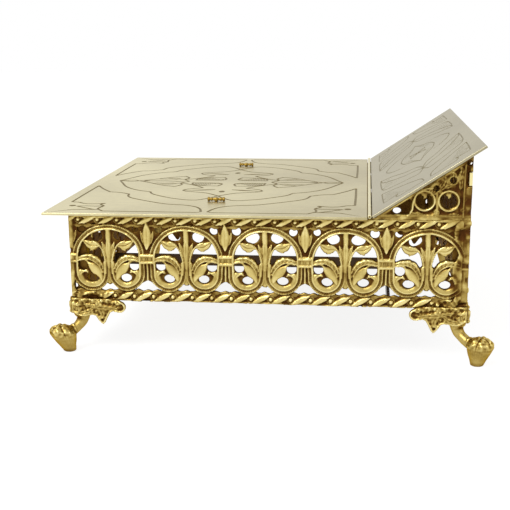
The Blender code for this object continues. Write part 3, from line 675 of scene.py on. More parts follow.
def foot_mesh(settings, crown_out, sole_in):
    """One splayed foot about the frame corner, its brackets along both sides."""
    relief = bracket_relief(settings.bracket_length / MM, settings.bracket_drop / MM,
                            settings.detail / MM, 31)
    thick = settings.bracket_thickness / MM
    back = thick * MM - 0.0024
    look = {"base": 1.3, "thick": thick, "texture": 0.2}
    along_x = relief_mesh("bracket_x", relief, (0, back, 0), (1, 0, 0), (0, -1, 0), **look)
    along_y = relief_mesh("bracket_y", relief, (back, 0, 0), (0, 1, 0), (-1, 0, 0), **look)
    reach = settings.foot_reach
    low = -settings.foot_height
    crown = low + settings.paw_height
    wide = settings.paw_radius
    bm = bmesh.new()
    knee = smooth_path([(0.0030, -0.0012), (0.0030, -0.0052), (0.0053, -0.0098), (0.0054, -0.0148),
                        (0.0028, -0.0190), (-0.0012 - 0.4 * crown_out, -0.0226),
                        (-0.0052 - crown_out, -0.0246)], 5)
    radii = np.interp(np.linspace(0, 1, len(knee)), np.linspace(0, 1, 7),
                      (0.0034, 0.0048, 0.0058, 0.0042, 0.0035, 0.0037, 0.0040))
    add_tube(bm, [(p[0], p[0], p[1]) for p in knee], radii)
    profile = [(0, crown), (0.40 * wide, crown - 0.0003), (0.72 * wide, crown - 0.0014),
               (0.93 * wide, crown - 0.0034), (wide, crown - 0.0060), (0.97 * wide, crown - 0.0085),
               (0.84 * wide, low + 0.0078), (0.66 * wide, low + 0.0042), (0.54 * wide, low + 0.0014),
               (0.50 * wide, low + 0.0003), (0.44 * wide, low), (0, low)]
    slant = (crown_out + sole_in) / settings.paw_height
    shift = -reach + sole_in + slant * low
    lean = Matrix(((1, 0, -slant, shift), (0, 1, -slant, shift), (0, 0, 1, 0), (0, 0, 0, 1)))
    add_turned(bm, profile, lean)
    bmesh.ops.create_cube(bm, size=1.0, matrix=Matrix.Translation((0.0072, 0.0072, -0.0045))
                          @ Matrix.Diagonal((0.0100, 0.0100, 0.0085, 1)))
    skin = voxelled("foot_skin", bm, FOOT_SKIN, 3)
    out = Vector((-1, -1, 0)).normalized()
    claw_drop = 0.0085
    normals = [v.normal.copy() for v in skin.vertices]
    for vertex, normal in zip(skin.vertices, normals):
        spot = vertex.co
        lift = 0.00012 * noise.noise(spot * 260)
        middle = reach - sole_in + slant * (spot.z - low)
        flat = Vector((spot.x + middle, spot.y + middle, 0))
        share = min(max((spot.z - crown + claw_drop) / 0.0045, 0), 1) * (spot.z < crown + 0.0008)
        if flat.length < 1.15 * wide and share > 0:
            turn = math.atan2(flat.cross(out).z, flat.dot(out))
            claw = abs(math.sin(2.5 * turn)) ** 0.7
            lift += share * (0.0011 * claw - 0.0006 + 0.0006 * noise.noise(spot * 420))
        if spot.z > low + 0.0006:
            vertex.co = spot + normal * lift
    # a fresh copy, because wear needs the normals of the surface as it is now
    bm = bmesh.new()
    bm.from_mesh(skin)
    joined = bpy.data.meshes.new("foot")
    bm.to_mesh(joined)
    bm.free()
    joined.shade_smooth()
    mark_wear(joined, 3, 1.3, 0.43)
    return [joined, along_x, along_y]


def merged(name, meshes):
    """One mesh from several, keeping their wear and painted shade."""
    objects = [placed(name, mesh) for mesh in meshes]
    with bpy.context.temp_override(active_object=objects[0], object=objects[0],
                                   selected_objects=objects, selected_editable_objects=objects):
        bpy.ops.object.join()
    mesh = objects[0].data
    bpy.data.objects.remove(objects[0])
    return mesh


# ---------------------------------------------------------------- engraved plates
def offset_path(points, distance):
    """Copy of an open path moved sideways."""
    moved = []
    for i, point in enumerate(points):
        before = points[max(i - 1, 0)]
        after = points[min(i + 1, len(points) - 1)]
        dx, dy = after[0] - before[0], after[1] - before[1]
        size = math.hypot(dx, dy) or 1.0
        moved.append((point[0] - dy / size * distance, point[1] + dx / size * distance))
    return moved


def mirrored(path, side_x, side_y):
    """Path with its x and y multiplied by 1 or -1."""
    return [(side_x * px, side_y * py) for px, py in path]


def mirrored_four(paths):
    """Each path with its mirror images across both middle lines."""
    return [mirrored(path, sx, sy) for path in paths for sx in (1, -1) for sy in (1, -1)]


def curves(*rows):
    """Paths from rows of points; a row that starts with a number is smoothed with that many steps a span."""
    return [smooth_path(row[1:], row[0]) if isinstance(row[0], int) else list(row) for row in rows]


def main_lines():
    """Engraved lines of the main plate, in mm from its middle."""
    quarter = curves(
        (8, (-100.7, 26), (-93, 41), (-84.5, 53.8)),
        (8, (-84.5, 53.8), (-76, 56.2), (-67.8, 62.2)),
        (8, (-67.8, 62.2), (-65, 74), (-55.7, 84), (-33.4, 100), (-19, 104),
            (-9.6, 109.6), (-4.6, 118), (-2.2, 128.6)),
        ((-5, 130.8), (-40, 130.5), (-69.7, 130.3)),
        (5, (-69.7, 130.3), (-75, 122), (-73.8, 111.6), (-77.4, 106), (-75.3, 101.6)),
        (5, (-75.3, 101.6), (-83, 104.4), (-90.1, 103.2), (-95, 99), (-100.7, 97.6)),
        ((-100.7, 97.6), (-100.9, 62), (-100.7, 26)),
        (8, (-90, 0.4), (-86, 10), (-77.5, 30), (-66, 44), (-53.9, 51.4)),
        (8, (-53.9, 51.4), (-50.6, 60), (-42.7, 68.7), (-30, 79), (-15, 84.5), (-6, 76), (0, 65.9)),
        (8, (0, 65.9), (10, 54.6), (20, 49.8), (27.4, 47)),
        (6, (27.4, 47), (30.2, 43), (27, 36.6), (17, 30.8)),
        (8, (-90, 0.4), (-80, -3.4), (-74.3, 0), (-64, 8.4), (-52, 19.5), (-40.6, 26)),
        (6, (-40.6, 26), (-36.4, 17), (-38.4, 9), (-33.6, 0.4)),
        (5, (-58, 10), (-51, 11.4), (-45, 9.2)),
        (5, (-52.6, 15.4), (-46, 14.6), (-41.6, 10.6)),
        (6, (-29, 6.6), (-27.6, 15), (-19, 20.4), (-7.2, 21.2)),
        (6, (-7.2, 21.2), (-5, 13), (-9, 7.4), (-29, 6.6)),
        (6, (-24.5, 42.6), (-15, 41.4), (-6.5, 38)),
        (6, (-24.5, 42.6), (-15, 39.6), (-6.5, 38)),
        (6, (17, 30.8), (22.6, 22.4), (31.6, 13.6), (38.4, 9)),
    )
    lines = mirrored_four(quarter)
    corner = [arc_path((-96, 111.8), 1.7, 1.7, 0, 360, 13)] + curves(
        ((-92.5, 113.4), (-86, 112.4), (-79.5, 113)), ((-90.5, 115.2), (-85, 119.4), (-79.5, 123.2)),
        ((-91.5, 126.2), (-84, 125.4), (-77, 125.4)))
    for sides in ((1, 1), (-1, 1), (1, -1), (-1, -1)):
        lines += [mirrored(path, *sides) for path in corner]
    lines += curves((8, (-65, 0.4), (-54.8, 1.4), (-46, 0)), (8, (65, 0.4), (54.8, 1.4), (46, 0)))
    return lines + [mirrored(arc_path((0, 46.6), 1.5, 3, 0, 360, 13), 1, side) for side in (1, -1)]


def main_shading():
    """Short parallel strokes that shade the four petals of the main plate's middle."""
    strokes = []
    for k in range(15):
        x = -27.0 + 1.35 * k
        high = 8.8 + 10.5 * math.sin(math.pi * min(0.94, (k + 3) / 15))
        strokes.append([(x, 8), (x + 0.5, 0.5 * (8.0 + high)), (x + 0.7, high)])
    for k in range(4):
        strokes.append([(-21.0 + 3.4 * k, 41.6 - 0.7 * k), (-19.0 + 3.4 * k, 40.4 - 0.6 * k)])
    return mirrored_four(strokes)


def head_lines():
    """Engraved lines of the head plate, in mm from its middle."""
    quarter = curves(
        (8, (-33.8, 83.6), (-33.6, 102), (-33, 120)),
        (5, (-33, 120), (-28, 119.6), (-22, 117.2)),
        (5, (-22, 117.2), (-23.6, 122.6), (-21.1, 127.5)),
        ((-21.1, 127.5), (-12, 127.8), (-2.5, 127.5)),
        (8, (-2.5, 127.5), (-3.6, 117), (-7.6, 109.8), (-18, 98), (-29.6, 87), (-33.8, 83.6)),
        (8, (-33.8, 25.8), (-34, 48), (-32.1, 70.6), (-22, 80.6), (-10.1, 88.3)),
        (8, (-10.1, 88.3), (-4.2, 91.1), (0.9, 79), (7, 71.6), (13.6, 66.8)),
        (8, (13.6, 66.8), (24, 53), (32.2, 37.9), (33.4, 27)),
        (8, (-33.8, 25.8), (-24, 36), (-14, 52), (-4, 62), (0.9, 79)),
        (8, (-15, 0), (-12, 16), (-4, 30), (0, 42)),
        (8, (-28, 4), (-24, 15), (-17, 24)),
    )
    lines = mirrored_four(quarter)
    for k in range(4):
        turn = math.radians(45 + 90 * k)
        petal = arc_path((0, 0), 4.2, 1.7, 0, 360, 15)
        cx, cy = 5.2 * math.cos(turn), 5.2 * math.sin(turn)
        lines.append([(cx + px * math.cos(turn) - py * math.sin(turn),
                       cy + px * math.sin(turn) + py * math.cos(turn)) for px, py in petal])
    return lines


def head_shading():
    """Short strokes that shade the head plate."""
    strokes = []
    for k in range(9):
        y = 10 + 3.2 * k
        strokes.append([(-10.6 + 1.05 * k, y), (-7.4 + 0.8 * k, y + 1.4)])
    for k in range(7):
        y = 92 + 4.0 * k
        strokes.append([(-30.5, y), (-27.0 + 1.3 * k, y + 2.6)])
    for k in range(8):
        y = 34 + 4.4 * k
        strokes.append([(-30.6, y), (-26.8 + 0.4 * k, y + 2.4)])
    return mirrored_four(strokes)


def engraved_plate(name, size_x, size_y, thick, lines, strokes, holes, width, depth):
    """Sheet with V-shaped grooves cut into its top; middle at the origin, top at zero."""
    half_x, half_y = size_x / 2, size_y / 2
    points, edges = [], []

    def add_path(path, closed=False):
        """Adds a path's points and the edges between them."""
        start = len(points)
        points.extend(Vector(p) for p in path)
        last = len(points) - 1
        edges.extend((i, i + 1) for i in range(start, last))
        if closed:
            edges.append((last, start))

    bevel = 0.25
    outline = [(-half_x + bevel, -half_y + bevel), (half_x - bevel, -half_y + bevel),
               (half_x - bevel, half_y - bevel), (-half_x + bevel, half_y - bevel)]
    add_path(outline, True)
    for hx, hy, radius in holes:
        add_path(arc_path((hx, hy), radius, radius, 0, 345, 24), True)
    groups = [(path, width / 2, depth) for path in lines]
    groups += [(path, width * 0.20, depth * 0.6) for path in strokes]
    for path, half, _ in groups:
        for shift in (-half, 0.0, half):
            add_path(offset_path(path, shift))
    verts, _, faces, _, _, _ = delaunay_2d_cdt(points, edges, [], 1, 1e-5)
    flat = np.array([(v.x, v.y) for v in verts])
    fall = np.zeros(len(flat))
    for path, half, low in groups:
        near = np.all((flat > np.min(path, 0) - 1) & (flat < np.max(path, 0) + 1), axis=1)
        distance, _, _, _ = follow(path, flat[near, 0], flat[near, 1])
        fall[near] = np.maximum(fall[near], low * np.clip(1 - distance / half, 0, 1))
    shallow = 0.004
    fall[fall < shallow] = 0
    mesh_faces, groove = [], []
    for face in faces:
        middle = flat[list(face)].mean(0)
        if any(math.hypot(middle[0] - hx, middle[1] - hy) < r for hx, hy, r in holes):
            continue
        mesh_faces.append(list(face))
        groove.append(1 if fall[list(face)].max() > 0 else 0)
    spots = [(x * MM, y * MM, -f * MM) for (x, y), f in zip(flat, fall)]
    rim = open_edges(mesh_faces)
    skirt = {}
    for a, _ in rim:
        x, y = flat[a]
        hole = any(math.hypot(x - hx, y - hy) < r + 0.1 for hx, hy, r in holes)
        grow = 0.0 if hole else bevel
        ex = x + (math.copysign(grow, x) if abs(x) > half_x - 2 * bevel else 0)
        ey = y + (math.copysign(grow, y) if abs(y) > half_y - 2 * bevel else 0)
        first = len(spots)
        spots.append((ex * MM, ey * MM, -bevel * MM))
        spots.append((ex * MM, ey * MM, -thick * MM))
        skirt[a] = first
    for a, b in rim:
        mesh_faces.append([b, a, skirt[a], skirt[b]])
        mesh_faces.append([skirt[b], skirt[a], skirt[a] + 1, skirt[b] + 1])
        groove += [0, 0]
    under_points = [Vector((spots[skirt[a] + 1][0], spots[skirt[a] + 1][1])) for a, _ in rim]
    place = {a: i for i, (a, _) in enumerate(rim)}
    under_edges = [(place[a], place[b]) for a, b in rim]
    verts, _, faces, _, _, _ = delaunay_2d_cdt(under_points, under_edges, [], 1, 1e-9)
    start = len(spots)
    spots += [(v.x, v.y, -thick * MM) for v in verts]
    for face in faces:
        middle = sum((Vector(spots[start + i][:2]) for i in face), Vector((0, 0))) / len(face)
        if any(math.hypot(middle.x / MM - hx, middle.y / MM - hy) < r for hx, hy, r in holes):
            continue
        mesh_faces.append([start + i for i in reversed(face)])
        groove.append(0)
    mesh = bpy.data.meshes.new(name)
    mesh.from_pydata(spots, [], mesh_faces)
    mesh.materials.append(None)
    mesh.polygons.foreach_set("material_index", np.array(groove, dtype=np.int32))
    mesh.validate()
    return mesh


# ---------------------------------------------------------------- shader groups
def node_group(name, inputs, outputs):
    """Shader group with named sockets: its wiring, what it is given, what it puts out, object position."""
    group = bpy.data.node_groups.new(name, "ShaderNodeTree")
    for label, kind, default in inputs:
        socket = group.interface.new_socket(label, in_out="INPUT", socket_type="NodeSocket" + kind)
        socket.default_value = default
    for label, kind in [("Color", "Color"), ("Roughness", "Float"), ("Height", "Float")] + outputs:
        group.interface.new_socket(label, in_out="OUTPUT", socket_type="NodeSocket" + kind)
    wire = Wiring(group)
    given = wire.nodes.new("NodeGroupInput").outputs
    out = wire.nodes.new("NodeGroupOutput").inputs
    return group, wire, given, out, wire.nodes.new("ShaderNodeTexCoord").outputs["Object"]


def ramp_node(nodes, stops):
    """Colour ramp from (place, colour) pairs."""
    node = nodes.new("ShaderNodeValToRGB")
    ramp = node.color_ramp
    while len(ramp.elements) > 1:
        ramp.elements.remove(ramp.elements[-1])
    ramp.elements[0].position, ramp.elements[0].color = stops[0]
    for place, colour in stops[1:]:
        ramp.elements.new(place).color = colour
    return node


class Wiring:
    """Adds nodes to one tree and joins them up."""

    def __init__(self, tree):
        self.nodes, self.join = tree.nodes, tree.links.new

    def math(self, operation, first, second):
        node = self.nodes.new("ShaderNodeMath")
        node.operation = operation
        for socket, value in zip(node.inputs, (first, second)):
            if isinstance(value, (int, float)):
                socket.default_value = value
            else:
                self.join(value, socket)
        return node.outputs[0]

    def plus(self, first, second):
        return self.math("ADD", first, second)

    def times(self, first, second):
        return self.math("MULTIPLY", first, second)

    def swing(self, value, middle, gain):
        """How far a value is from the middle, made larger or smaller."""
        return self.times(self.math("SUBTRACT", value, middle), gain)

    def grain(self, where, scale, detail=3.0, rough=0.55, stretch=None):
        node = self.nodes.new("ShaderNodeTexNoise")
        node.inputs["Scale"].default_value = scale
        node.inputs["Detail"].default_value = detail
        node.inputs["Roughness"].default_value = rough
        if stretch:
            mapping = self.nodes.new("ShaderNodeMapping")
            mapping.inputs["Scale"].default_value = stretch
            self.join(where, mapping.inputs["Vector"])
            where = mapping.outputs["Vector"]
        self.join(where, node.inputs["Vector"])
        return node.outputs["Fac"]

    def cover(self, reach):
        """1 in the open and less where the surface is covered within reach."""
        node = self.nodes.new("ShaderNodeAmbientOcclusion")
        node.samples = 6
        node.inputs["Distance"].default_value = reach
        return node.outputs["AO"]

    def two_tones(self, share, given, out):
        """Mixes the group's dark and light tones by a share."""
        mix = self.nodes.new("ShaderNodeMix")
        mix.data_type = "RGBA"
        mix.clamp_factor = True
        for value, number in ((share, 0), (given["Dark"], 6), (given["Light"], 7)):
            self.join(value, mix.inputs[number])
        self.join(mix.outputs[2], out["Color"])


def cast_group(name, settings):
    """Old cast brass: dark in hollows, bright on rubbed edges, finely pitted, with painted shade where the
    surface is covered.
    """
    group, wire, given, out, where = node_group(name, [("Wear and shade", "Float", 0.5)], [("Metallic", "Float")])
    clouds = wire.grain(where, 90.0)
    grit = wire.grain(where, 900.0, 4.0, 0.7)
    pits = wire.grain(where, 2400.0, 2.0)
    # painted shade: the colour darkens where ambient occlusion finds the surface covered
    shade = wire.plus(wire.swing(wire.cover(settings.painted_shade_reach), 1.0, settings.painted_shade), 1.0)
    mask = wire.times(given["Wear and shade"], wire.math("MAXIMUM", shade, 0.0))
    fine = wire.swing(grit, 0.5, 0.25)
    mask = wire.plus(wire.plus(mask, wire.swing(clouds, 0.5, 0.35)), fine)
    mask = wire.math("MAXIMUM", mask, 0.0)
    colours = ramp_node(wire.nodes, [(0.0, settings.recess), (0.22, settings.shadow), (0.46, settings.middle),
                                     (0.72, settings.bright), (1.0, settings.rubbed)])
    wire.join(mask, colours.inputs["Fac"])
    wire.join(colours.outputs["Color"], out["Color"])
    dull = wire.plus(wire.times(wire.math("SUBTRACT", 1.0, mask), 0.36), 0.20)
    wire.join(wire.plus(dull, wire.times(fine, 0.3)), out["Roughness"])
    bare = wire.plus(wire.times(mask, 1.6), 0.6)
    wire.join(wire.math("MINIMUM", bare, 1.0), out["Metallic"])
    wire.join(wire.plus(grit, wire.times(pits, 0.5)), out["Height"])
    return group


def sheet_group(name, settings):
    """Pale rolled brass sheet: soft clouds, fine polishing lines, stains, and painted shade that darkens it
    towards +X.
    """
    group, wire, given, out, where = node_group(
        name, [("Dark", "Color", settings.sheet_dark), ("Light", "Color", settings.sheet_light)], [])
    clouds = wire.grain(where, 7.0, 4.0)
    stains = wire.grain(where, 260.0, 5.0, 0.7)
    lines = wire.grain(where, 40.0, 3.0, 0.6, (1.0, 28.0, 1.0))
    mask = wire.plus(wire.times(clouds, 0.55), wire.times(lines, 0.25))
    mask = wire.plus(mask, wire.times(stains, 0.20))
    axes = wire.nodes.new("ShaderNodeSeparateXYZ")
    wire.join(where, axes.inputs[0])
    # the X term is painted shade: the sheet darkens towards +X
    wire.two_tones(wire.plus(wire.swing(mask, 0.32, 2.8), wire.times(axes.outputs["X"], -2.4)), given, out)
    rough = wire.plus(wire.times(lines, 0.12), 0.27)
    wire.join(wire.plus(rough, wire.times(stains, 0.06)), out["Roughness"])
    wire.join(lines, out["Height"])
    return group


def turned_group(name, settings):
    """Drawn or turned metal: two close tones with fine tool rings, darkened with painted shade where the
    surface is covered.
    """
    group, wire, given, out, where = node_group(
        name, [("Dark", "Color", (0.2, 0.1, 0.03, 1)), ("Light", "Color", (0.8, 0.6, 0.2, 1)),
               ("Wear and shade", "Float", 0.5)], [])
    clouds = wire.grain(where, 320.0, 4.0, 0.6)
    # painted shade: the tone darkens where ambient occlusion finds the surface covered
    mask = wire.times(wire.times(wire.cover(settings.painted_shade_reach * 0.6), given["Wear and shade"]), 1.4)
    wire.two_tones(wire.plus(mask, wire.swing(clouds, 0.5, 0.7)), given, out)
    wire.join(wire.plus(wire.times(clouds, 0.2), 0.22), out["Roughness"])
    wire.join(wire.grain(where, 160.0, 2.0, 0.5, (18.0, 1.0, 1.0)), out["Height"])
    return group


def metal(name, kind, bump, metallic=1.0, wear_and_shade=None, colours=None, tint=(1, 1, 1, 1)):
    """Material on one of the shared groups; wear_and_shade is an attribute name or a number, for wear and
    painted shade.
    """
    existing = bpy.data.materials.get(name)
    if existing:
        return existing
    group = bpy.data.node_groups.get(kind) or KINDS[kind](kind, bpy.context.scene.stand_finish)
    material = bpy.data.materials.new(name)
    material.use_nodes = True
    wire = Wiring(material.node_tree)
    shader = wire.nodes["Principled BSDF"].inputs
    shader["Metallic"].default_value = metallic
    shader["Specular Tint"].default_value = tint
    effect = wire.nodes.new("ShaderNodeGroup")
    effect.node_tree = group
    if isinstance(wear_and_shade, str):
        attribute = wire.nodes.new("ShaderNodeAttribute")
        attribute.attribute_name = wear_and_shade
        wire.join(attribute.outputs["Fac"], effect.inputs["Wear and shade"])
    elif wear_and_shade is not None:
        effect.inputs["Wear and shade"].default_value = wear_and_shade
    if colours:
        effect.inputs["Dark"].default_value, effect.inputs["Light"].default_value = colours
    wire.join(effect.outputs["Color"], shader["Base Color"])
    wire.join(effect.outputs["Roughness"], shader["Roughness"])
    if "Metallic" in effect.outputs:
        wire.join(effect.outputs["Metallic"], shader["Metallic"])
    height = wire.nodes.new("ShaderNodeBump")
    height.inputs["Strength"].default_value = bump
    height.inputs["Distance"].default_value = 0.0002
    wire.join(effect.outputs["Height"], height.inputs["Height"])
    wire.join(height.outputs["Normal"], shader["Normal"])
    return material


KINDS = {"Cast brass patina": cast_group, "Rolled brass sheet": sheet_group, "Turned metal": turned_group}


def cast_material(name="Cast brass", bump=0.45, wear_and_shade="wear_and_shade"):
    """Cast brass with the shared patina and painted shade."""
    return metal(name, "Cast brass patina", bump, wear_and_shade=wear_and_shade, tint=bpy.context.scene.stand_finish.warmth)


def sheet_material(name, dark, light):
    """Rolled sheet between two tones."""
    return metal(name, "Rolled brass sheet", 0.06, colours=(dark, light))


def turned_material(name, dark, light, wear_and_shade=0.7, metallic=1.0, bump=0.15, tint=(1, 1, 1, 1)):
    """Drawn or turned metal between two tones."""
    return metal(name, "Turned metal", bump, metallic, wear_and_shade, (dark, light), tint)


# ---------------------------------------------------------------- settings
def length_prop(name, text, value):
    return bpy.props.FloatProperty(name=name, description=text, default=value, min=0, unit="LENGTH",
                                   subtype="DISTANCE", precision=5)


def colour_prop(name, text, value):
    return bpy.props.FloatVectorProperty(name=name, description=text, default=value, size=4, min=0, max=1,
                                         subtype="COLOR")


class StandReliefs(bpy.types.PropertyGroup):
    front_step: length_prop("Front detail", "Grid spacing of the front reliefs", 0.00052)
    side_step: length_prop("Side detail", "Grid spacing of the other reliefs", 0.00056)
    arch_count: bpy.props.IntProperty(name="Arches", description="Arches along each side", default=5, min=1)
    ring_count: bpy.props.IntProperty(name="End rings", description="Rings in the end wall", default=9,
                                      min=1)


class StandFeet(bpy.types.PropertyGroup):
    detail: length_prop("Detail", "Grid spacing of the brackets", 0.00040)
    bracket_length: length_prop("Bracket length", "How far a bracket runs under the frieze", 0.0380)
    bracket_drop: length_prop("Bracket drop", "Depth of the bracket's pointed lobe", 0.0165)
    bracket_thickness: length_prop("Bracket thickness", "Thickness of a bracket", 0.0030)
    foot_height: length_prop("Foot height", "From the frame's lower edge to the table", 0.0357)
    foot_reach: length_prop("Foot reach", "How far a paw stands outside the corner", 0.0060)
    paw_radius: length_prop("Paw radius", "Half width of a paw", 0.0086)
    paw_height: length_prop("Paw height", "Height of a paw", 0.0195)


class StandPlates(bpy.types.PropertyGroup):
    groove_width: length_prop("Groove width", "Width of an engraved line", 0.00170)
    groove_depth: length_prop("Groove depth", "Depth of an engraved line", 0.00030)
    knuckles: bpy.props.IntProperty(name="Knuckles", description="Knuckles of the hinge", default=7, min=3)
    barrel: length_prop("Barrel radius", "Radius of the hinge barrel", 0.0012)
    catch_length: length_prop("Catch length", "Length of a turned catch", 0.0126)
    catch_radius: length_prop("Catch radius", "Radius of a turned catch", 0.0016)


class StandFinish(bpy.types.PropertyGroup):
    # the darkest ramp colours also carry the painted shade of covered places, back faces and dark corners
    recess: colour_prop("Recess", "Grime and painted shade in the deepest hollows", linear(80, 44, 10))
    shadow: colour_prop("Shadow", "Brown brass in hollows", linear(104, 76, 28))
    middle: colour_prop("Middle", "Golden brass between", linear(166, 141, 74))
    bright: colour_prop("Bright", "Polished brass", linear(210, 190, 118))
    rubbed: colour_prop("Rubbed", "Rubbed high edges", linear(238, 224, 162))
    sheet_dark: colour_prop("Sheet, dark", "Darker clouds of the main plate", linear(172, 160, 118))
    sheet_light: colour_prop("Sheet, light", "Lighter clouds of the main plate", linear(221, 211, 166))
    # the head plate's sheet colours are darkened as painted shade of the tilted plate
    head_shade_dark: colour_prop("Head sheet in painted shade, dark", "Darker clouds of the head plate", linear(154, 145, 114))
    head_shade_light: colour_prop("Head sheet in painted shade, light", "Lighter clouds of the head plate", linear(180, 172, 142))
    groove: colour_prop("Groove", "Dark polish left in the grooves", linear(84, 70, 34))
    warmth: colour_prop("Warmth", "Tint of glancing reflections", (0.80, 0.58, 0.28, 1.0))
    # painted shade of covered places: how strongly it darkens, and how far the occlusion test reaches
    painted_shade: bpy.props.FloatProperty(name="Painted shade", description="How much covered places darken", default=0.85)
    painted_shade_reach: length_prop("Painted shade reach", "Reach of the occlusion test for painted shade", 0.0035)


class StandStage(bpy.types.PropertyGroup):
    lens: bpy.props.FloatProperty(name="Lens", description="Focal length in mm", default=67.86)
    sky: bpy.props.FloatProperty(name="Sky", description="World strength on the object", default=0.62)
    key: bpy.props.FloatProperty(name="Key lamp", description="Power of the main lamp", default=10.0,
                                 unit="POWER")
    fill: bpy.props.FloatProperty(name="Fill lamp", description="Power of the weaker lamp", default=1.8,
                                  unit="POWER")
    floor_size: length_prop("Floor size", "Side of the pale floor", 8.0)
    floor_colour: colour_prop("Floor", "Colour of the floor", linear(138, 138, 138))


# ---------------------------------------------------------------- operators
def cast_piece(node, relief, origin, along, outward):
    """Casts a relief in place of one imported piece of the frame."""
    mesh = relief_mesh(node + "_cast", relief, origin, along, outward)
    new_piece(mesh.name, mesh, "frame", cast_material(), [node])


class STAND_OT_friezes(bpy.types.Operator):
    """Cast the four openwork sides of the frame."""
    bl_idname = "stand.friezes"
    bl_label = "Frieze panels"

    def execute(self, context):
        settings = context.scene.stand_reliefs
        places = (("front_panel", 0, (1, 0, 0), (0, -1, 0), 2.6, 9.0, settings.front_step),
                  ("rear_panel", 1, (-1, 0, 0), (0, 1, 0), 9.0, 1.8, settings.side_step),
                  ("left_end_panel", 2, (0, -1, 0), (-1, 0, 0), 0, 0, settings.side_step),
                  ("right_end_panel", 3, (0, 1, 0), (1, 0, 0), 0, 0, settings.side_step))
        for node, number, along, outward, left, right, step in places:
            low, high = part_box(node)
            corner = [low[i] if along[i] + outward[i] >= 0 else high[i] for i in range(3)]
            corner[2] = low[2]
            length = max(high[0] - low[0], high[1] - low[1]) / MM
            relief = frieze(length, settings.arch_count, step / MM, 11 + number, left, right)
            cast_piece(node, relief, corner, along, outward)
        return {"FINISHED"}


class STAND_OT_risers(bpy.types.Operator):
    """Cast the openwork risers that carry the head plate."""
    bl_idname = "stand.risers"
    bl_label = "Risers"

    def execute(self, context):
        settings = context.scene.stand_reliefs
        axis_x, _, axis_z = middle_of("hinge_pin")
        plate_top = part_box("main_plate")[1][2]
        rise = (axis_z - plate_top) / MM
        drop = 2.3
        for node, outward, step, seed in (("front_riser", -1, settings.front_step, 21),
                                          ("rear_riser", 1, settings.side_step, 22)):
            low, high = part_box(node)
            reach = (high[0] - axis_x) / MM
            relief = side_riser(reach, drop, rise, step / MM, seed)
            back = high[1] if outward < 0 else low[1]
            cast_piece(node, relief, (axis_x, back, plate_top), (1, 0, 0), (0, outward, 0))
        low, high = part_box("right_end_riser")
        top = (high[2] - plate_top) / MM
        relief = end_riser((high[1] - low[1]) / MM, top, settings.ring_count, settings.side_step / MM, 23)
        cast_piece("right_end_riser", relief, (low[0], low[1], plate_top), (0, 1, 0), (1, 0, 0))
        return {"FINISHED"}


class STAND_OT_feet(bpy.types.Operator):
    """Cast the four splayed feet with their leafy brackets."""
    bl_idname = "stand.feet"
    bl_label = "Feet"

    def execute(self, context):
        settings = context.scene.stand_feet
        upright = merged("foot_cast", foot_mesh(settings, crown_out=0.0032, sole_in=-0.0010))
        slanted = merged("foot_slanted_cast", foot_mesh(settings, crown_out=0.0012, sole_in=0.0037))
        material = cast_material()
        low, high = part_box("front_panel")
        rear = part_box("rear_panel")[1]
        corners = (("front_left", low[0], low[1], 0), ("front_right", high[0], low[1], 90),
                   ("rear_right", high[0], rear[1], 180), ("rear_left", low[0], rear[1], 270))
        for corner, x, y, turn in corners:
            mesh = slanted if corner.endswith("left") else upright
            piece = new_piece("foot_" + corner + "_cast", mesh, "frame", material,
                              ["foot_" + corner])
            piece.matrix_world = (Matrix.Translation((x, y, low[2]))
                                  @ Matrix.Rotation(math.radians(turn), 4, "Z"))
        return {"FINISHED"}


class STAND_OT_plates(bpy.types.Operator):
    """Cut and engrave the main plate and the head plate."""
    bl_idname = "stand.plates"
    bl_label = "Engraved plates"

    def execute(self, context):
        settings = context.scene.stand_plates
        finish = context.scene.stand_finish
        groove = turned_material("Groove", finish.groove, linear(116, 100, 56), 0.4, 0.5,
                                 tint=linear(214, 202, 160))
        low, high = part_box("main_plate")
        middle = (Vector(low) + Vector(high)) / 2
        size = Vector(high) - Vector(low)
        holes = []
        hole_radius = 1.3
        for ending in ("front", "rear"):
            x, y, _ = middle_of("catch_washer_" + ending)
            holes.append(((x - middle.x) / MM, (y - middle.y) / MM, hole_radius))
        width, depth = settings.groove_width / MM, settings.groove_depth / MM
        mesh = engraved_plate("main_plate_engraved", size.x / MM, size.y / MM, size.z / MM, main_lines(),
                              main_shading(), holes, width, depth)
        sheet = sheet_material("Main sheet", finish.sheet_dark, finish.sheet_light)
        piece = new_piece("main_plate_engraved", mesh, "frame", sheet, ["main_plate"])
        piece.data.materials.append(groove)
        piece.matrix_world = Matrix.Translation((middle.x, middle.y, high[2]))
        axis_x, _, axis_z = middle_of("hinge_pin")
        axis = Vector((axis_x, 0, axis_z))
        start = 1.5
        sunk = 0.4
        low_corner = (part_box("head_plate")[1][0] - axis.x) / MM - (sunk + HEAD_THICK) * math.sin(HEAD_ANGLE)
        long = low_corner / math.cos(HEAD_ANGLE) - start
        mesh = engraved_plate("head_plate_engraved", long, size.y / MM, HEAD_THICK, head_lines(),
                              head_shading(), [], width * 0.6, depth)
        # the head plate takes the darker sheet colours: painted shade
        sheet = sheet_material("Head sheet in painted shade", finish.head_shade_dark, finish.head_shade_light)
        piece = new_piece("head_plate_engraved", mesh, "head", sheet, ["head_plate"])
        faint = turned_material("Faint groove", finish.groove, linear(132, 122, 88), 0.5, 0.4,
                                tint=linear(220, 212, 180))
        piece.data.materials.append(faint)
        piece.matrix_world = (Matrix.Translation(axis) @ Matrix.Rotation(-HEAD_ANGLE, 4, "Y")
                              @ Matrix.Translation(((start + long / 2) * MM, 0, -sunk * MM)))
        return {"FINISHED"}


